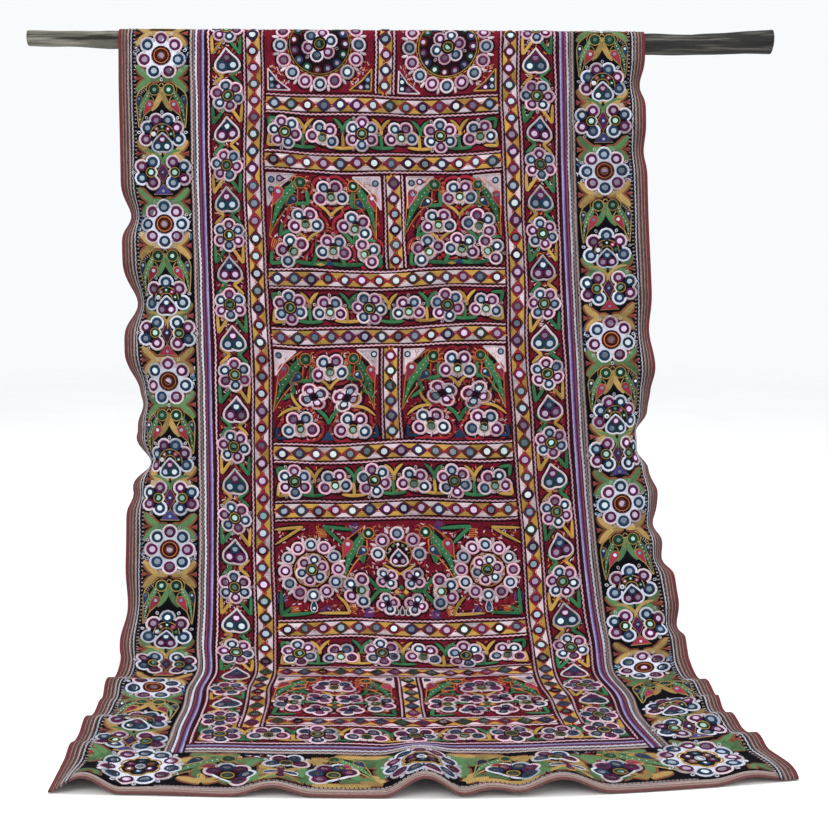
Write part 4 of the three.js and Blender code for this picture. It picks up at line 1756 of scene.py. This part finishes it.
def striped_material(name, stripes):
    """A narrow woven cloth with stripes along it."""
    shader = new_material(name)
    flat, length, side = shader.flat()
    waver = shader.math("MULTIPLY", shader.math("SUBTRACT", shader.noise(flat, 9, 2), 0.5), 0.07)
    colour = shader.dyed(shader.math("ADD", side, waver), stripes, sharp=True)
    dull = shader.ramp(shader.noise(flat, 14, 4), ((0.3, (0.62, 0.6, 0.6, 1)), (0.7, (1, 1, 1, 1))))
    rib = shader.wave(length, 2 * math.pi / UV_SCALE / RIB_PITCH)
    warp = shader.wave(side, 2 * math.pi * STRIPE_WARPS)
    return shader.finish(
        Base_Color=shader.blend(1.0, colour, dull, "MULTIPLY"),
        Normal=shader.bump(shader.math("ADD", rib, warp), 0.35, 0.0004),
        Roughness=0.8,
        Specular_IOR_Level=0.2,
    )


def wood_material():
    """Weathered grey-brown wood: long grain, drying cracks with painted shade in them, darker towards the
    thick end.
    """
    shader = new_material("weathered_pole")
    place = shader.place()
    grain = shader.noise(shader.stretched(place, GRAIN_STRETCH), 1.0, 6, 0.6)
    cracks = shader.ramp(shader.noise(shader.stretched(place, CRACK_STRETCH), 1.4, 2), CRACK_EDGES)
    stained = shader.math("MULTIPLY", shader.noise(place, 9, 3), 0.3)
    along = shader.spread(shader.math("ADD", shader.parts(place)[0], stained), given=(-0.5, 0.5))
    colour = shader.blend(along, shader.dyed(grain, PALE_GRAIN), shader.dyed(grain, DARK_GRAIN))
    height = shader.math("ADD", grain, shader.math("MULTIPLY", cracks, 0.6))
    return shader.finish(
        # Painted shade in the cracks.
        Base_Color=shader.painted_hollow_shade(colour, (0.25, 0.22, 0.2), cracks),
        Normal=shader.bump(height, 0.7, 0.002),
        Roughness=0.82,
    )


def floor_material():
    """Pale matt floor that melts into the bright room far from the hanging."""
    shader = new_material("pale_floor")
    place = shader.place()
    reach = shader.node("ShaderNodeVectorMath", {0: place}, operation="LENGTH").outputs["Value"]
    return shader.finish(
        Base_Color=shader.dyed(shader.noise(place, 3, 3), FLOOR_TONES),
        Alpha=shader.spread(reach, FLOOR_FADE, (1, 0), interpolation_type="SMOOTHSTEP"),
        Roughness=0.9,
    )


# Pieces


def cloth_lines(low, high, crest=False):
    """Where a cloth's facets lie between two edges, finer over the crest of the pole."""
    stops = [low, high]
    if crest and low < -CREST_REACH and high > CREST_REACH:
        stops = [low, -CREST_REACH, CREST_REACH, high]
    lines = [low]
    for start, end in zip(stops[:-1], stops[1:]):
        over_crest = crest and start == -CREST_REACH
        steps = max(2, math.ceil((end - start) / (CREST_STEP if over_crest else SHEET_STEP)))
        lines.extend(np.linspace(start, end, steps + 1)[1:])
    return np.array(lines)


def cloth_sheet(cloth, name, across, along, materials, stripe=None):
    """A piece of the cloth as one thin closed sheet with an embroidered face and a plain reverse."""
    columns = cloth_lines(across[0] - SEAM_LAP, across[1] + SEAM_LAP)
    rows = cloth_lines(along[0] - SEAM_LAP, along[1] + SEAM_LAP, crest=True)
    flat = np.stack(np.meshgrid(columns, rows), -1).reshape(-1, 2)
    n = len(flat)
    points = np.concatenate([cloth.place(flat, np.full(n, h)) for h in (THICKNESS / 2, -THICKNESS / 2)])
    face = lattice_faces(len(rows), len(columns))
    grid = np.arange(n).reshape(len(rows), len(columns))
    rim = np.concatenate([grid[0], grid[1:, -1], grid[-1, -2::-1], grid[-2:0:-1, 0]])
    after = np.roll(rim, -1)
    walls = np.stack([rim, after, after + n, rim + n], -1)
    faces = np.concatenate([face, face[:, ::-1] + n, walls])
    uv = flat * UV_SCALE
    if stripe:
        side, run = (0, 1) if stripe == "long" else (1, 0)
        inner, outer = sorted((across, along)[side], key=abs)
        uv = np.stack([flat[:, run] * UV_SCALE, (flat[:, side] - inner) / (outer - inner)], -1)
    which = np.concatenate([np.zeros(len(face)), np.ones(len(face)), np.zeros(len(walls))])
    uv = np.concatenate([uv, uv])
    made = mesh_object(name + "_cloth", points, faces.tolist(), uv, face_materials=which)
    for material in materials:
        made.data.materials.append(material)
    return made


def cloth_pieces():
    """The cut pieces: name, range across, range along, kind, and which way its stripes run."""
    pieces = [
        ("middle_panel", (-FIELD_HALF, FIELD_HALF), (FIELD_BACK, FIELD_FRONT), "field", None),
    ]
    outside = 0
    beyond = 0
    for kind, width, hem_kind, hem_width in (
        ("binding", BINDING_WIDTH, "hem", HEM_BINDING_WIDTH),
        ("border", BORDER_WIDTH, "border", HEM_BORDER_WIDTH),
        ("tape", TAPE_WIDTH, "tape", TAPE_WIDTH),
    ):
        outer = HALF_WIDTH - outside
        inner = outer - width
        front = FRONT_LENGTH - beyond
        back = beyond - BACK_LENGTH
        pieces += [
            (kind + "_left", (-outer, -inner), (back, front), kind, "long"),
            (kind + "_right", (inner, outer), (back, front), kind, "long"),
            (kind + "_front", (-inner, inner), (front - hem_width, front), hem_kind, "cross"),
            (kind + "_back", (-inner, inner), (back, back + hem_width), hem_kind, "cross"),
        ]
        outside += width
        beyond += hem_width
    return pieces


def drawn_by_hand(flat):
    """Flat places moved a little, so that the middle panel's rows waver between its straight edges."""
    across, along = flat.T
    eased = ramp((FIELD_HALF - np.abs(across)) / WAVER_EASE)
    eased = eased * ramp((FIELD_FRONT - along) / WAVER_EASE) * ramp((along - FIELD_BACK) / WAVER_EASE)
    moved = np.zeros_like(flat)
    for axis, waves in enumerate(ROW_WAVER):
        for depth, wave_across, wave_along, phase in waves:
            moved[:, axis] += depth * np.sin(across / wave_across + along / wave_along + phase)
    return flat + moved * eased[:, None]


def embroidery(cloth, work, materials):
    """The stitching and mirrors of one cloth as one object for each colour."""
    made = []
    for colour, threads in work.layers.items():
        flat = drawn_by_hand(np.concatenate(threads.flat))
        points = cloth.place(flat, np.concatenate(threads.heights) + THICKNESS / 2)
        uv = np.concatenate(threads.uv)
        shade = np.concatenate(threads.shade)
        piece = mesh_object(f"{work.cloth_name}_{colour}", points, threads.faces, uv, shade)
        piece.data.materials.append(materials[colour])
        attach(piece, "root")
        made.append(piece)
    return made


def pole_piece(material):
    """The pole with its worn, uneven surface and rough sawn ends."""
    low, high = POLE_STATIONS[0, 0], POLE_STATIONS[-1, 0]
    x = np.linspace(low, high, int((high - low) / POLE_STEP) + 1)
    x = np.concatenate([[low], x, [high]])[:, None]
    angle = np.linspace(0, 2 * math.pi, POLE_SIDES, endpoint=False)
    bare = ramp((np.abs(x - CLOTH_MIDDLE_X) - HALF_WIDTH) / POLE_WEAR_EASE)
    worn = POLE_WEAR
    for depth, wave, lobes, phase in POLE_LUMPS:
        worn = worn + depth * np.sin(x / wave + lobes * angle + phase)
    radius = pole_at(x, "radius") - POLE_WEAR + bare * worn
    radius[[0, -1]] -= POLE_CHAMFER
    up = pole_at(x, "rise") + radius * np.sin(angle)
    points = np.stack(np.broadcast_arrays(x, radius * np.cos(angle), up), -1)
    rows, sides = points.shape[:2]
    here = np.arange(rows - 1)[:, None] * sides
    i = np.arange(sides)[None, :]
    j = (i + 1) % sides
    faces = np.stack([here + i, here + j, here + j + sides, here + i + sides], -1).reshape(-1, 4).tolist()
    faces.append(list(range(sides))[::-1])
    faces.append(list(range((rows - 1) * sides, rows * sides)))
    made = mesh_object("worn_pole", points.reshape(-1, 3) * MM, faces)
    for end in made.data.polygons[-2:]:
        end.use_smooth = False
    made.data.materials.append(material)
    return made


def dress():
    """Every visible piece, riding on the one body and standing for its solid."""
    cloth = DrapedCloth()
    reverses = {name: cloth_material(name, rgb, False) for name, rgb in REVERSES.items()}
    faces = {kind: cloth_material(name, rgb, True) for kind, (name, rgb) in GROUNDS.items()}
    faces.update({kind: striped_material(kind + "_stripes", stripes) for kind, stripes in STRIPES.items()})
    threads = {colour: thread_material(colour + "_stitching", rgb) for colour, (rgb, _) in THREADS.items()}
    threads.update({name: mirror_material("old_" + name, rgb) for name, rgb in GLASS.items()})
    works = {
        work.cloth_name: work
        for work in (
            stitch_field(),
            stitch_long_border("border_left", -1, BORDER_FLOWERS["left"]),
            stitch_long_border("border_right", 1, BORDER_FLOWERS["right"]),
            stitch_end_border("border_front", FRONT_CORNER),
            stitch_end_border("border_back", BACK_CORNER),
        )
    }
    for name, across, along, kind, stripe in cloth_pieces():
        slot, reverse = CLOTHS[kind]
        materials = (faces[kind], reverses[reverse])
        sheet = cloth_sheet(cloth, name, across, along, materials, stripe if kind in STRIPES else None)
        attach(sheet, "root")
        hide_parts(name)
        if kind in EDGING_LINES:
            works[name] = stitch_edging(name, across, along, kind, stripe)
        worked = embroidery(cloth, works[name], threads)
    pole = pole_piece(wood_material())
    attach(pole, "root")
    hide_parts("pole")


# Stage


def area_light(name, place, size, power):
    """A round soft lamp that points at the hanging and isn't seen in its mirrors."""
    light = bpy.data.lights.new(name, "AREA")
    light.shape = "DISK"
    light.size = size
    light.energy = power
    made = bpy.data.objects.new(name, light)
    bpy.context.collection.objects.link(made)
    made.location = place
    made.visible_glossy = False
    x, y, z = np.array(LAMP_AIM) - np.array(place)
    tilt = math.pi / 2 + math.atan2(z, math.hypot(x, y))
    made.rotation_euler = (tilt, 0, math.atan2(y, x) - math.pi / 2)


def stage():
    """A pale floor under the hanging, in a soft bright room."""
    z = -POLE_HEIGHT * MM - FLOOR_DROP
    corners = [(x * FLOOR_HALF, y * FLOOR_HALF, z) for x, y in ((-1, -1), (1, -1), (1, 1), (-1, 1))]
    floor = mesh_object("floor", corners, [(0, 1, 2, 3)])
    floor.data.materials.append(floor_material())

    world = bpy.data.worlds.new("studio")
    bpy.context.scene.world = world
    shader = Shader(world)
    sides = {0: shader.place("Generated"), 1: ROOM_BRIGHT_SIDE}
    facing = shader.node("ShaderNodeVectorMath", sides, operation="DOT_PRODUCT").outputs["Value"]
    levels = [(at, (*(level * tint for tint in ROOM_TINT), 1)) for at, level in ROOM_LEVELS]
    light = shader.ramp(shader.spread(facing, given=(-1, 1)), levels)
    shader.join(light, shader.tree.nodes["Background"].inputs["Color"])
    for lamp in LAMPS:
        area_light(*lamp)


def camera():
    """A camera in front of the hanging, looking slightly down."""
    data = bpy.data.cameras.new("camera")
    data.lens = CAMERA_LENS
    data.sensor_width = SENSOR_WIDTH
    made = bpy.data.objects.new("camera", data)
    bpy.context.collection.objects.link(made)
    made.location = np.array(CAMERA_PLACE) * MM
    made.rotation_euler = (math.radians(90 - CAMERA_PITCH), 0, 0)
    bpy.context.scene.camera = made


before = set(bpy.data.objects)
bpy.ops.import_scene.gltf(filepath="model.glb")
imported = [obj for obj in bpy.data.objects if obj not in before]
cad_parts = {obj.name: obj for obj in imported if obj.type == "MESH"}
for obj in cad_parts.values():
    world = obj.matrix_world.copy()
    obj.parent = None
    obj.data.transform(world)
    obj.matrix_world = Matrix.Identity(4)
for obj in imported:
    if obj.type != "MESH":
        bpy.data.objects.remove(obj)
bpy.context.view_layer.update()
camera()
stage()
dress()
bpy.context.scene.view_settings.view_transform = "Standard"
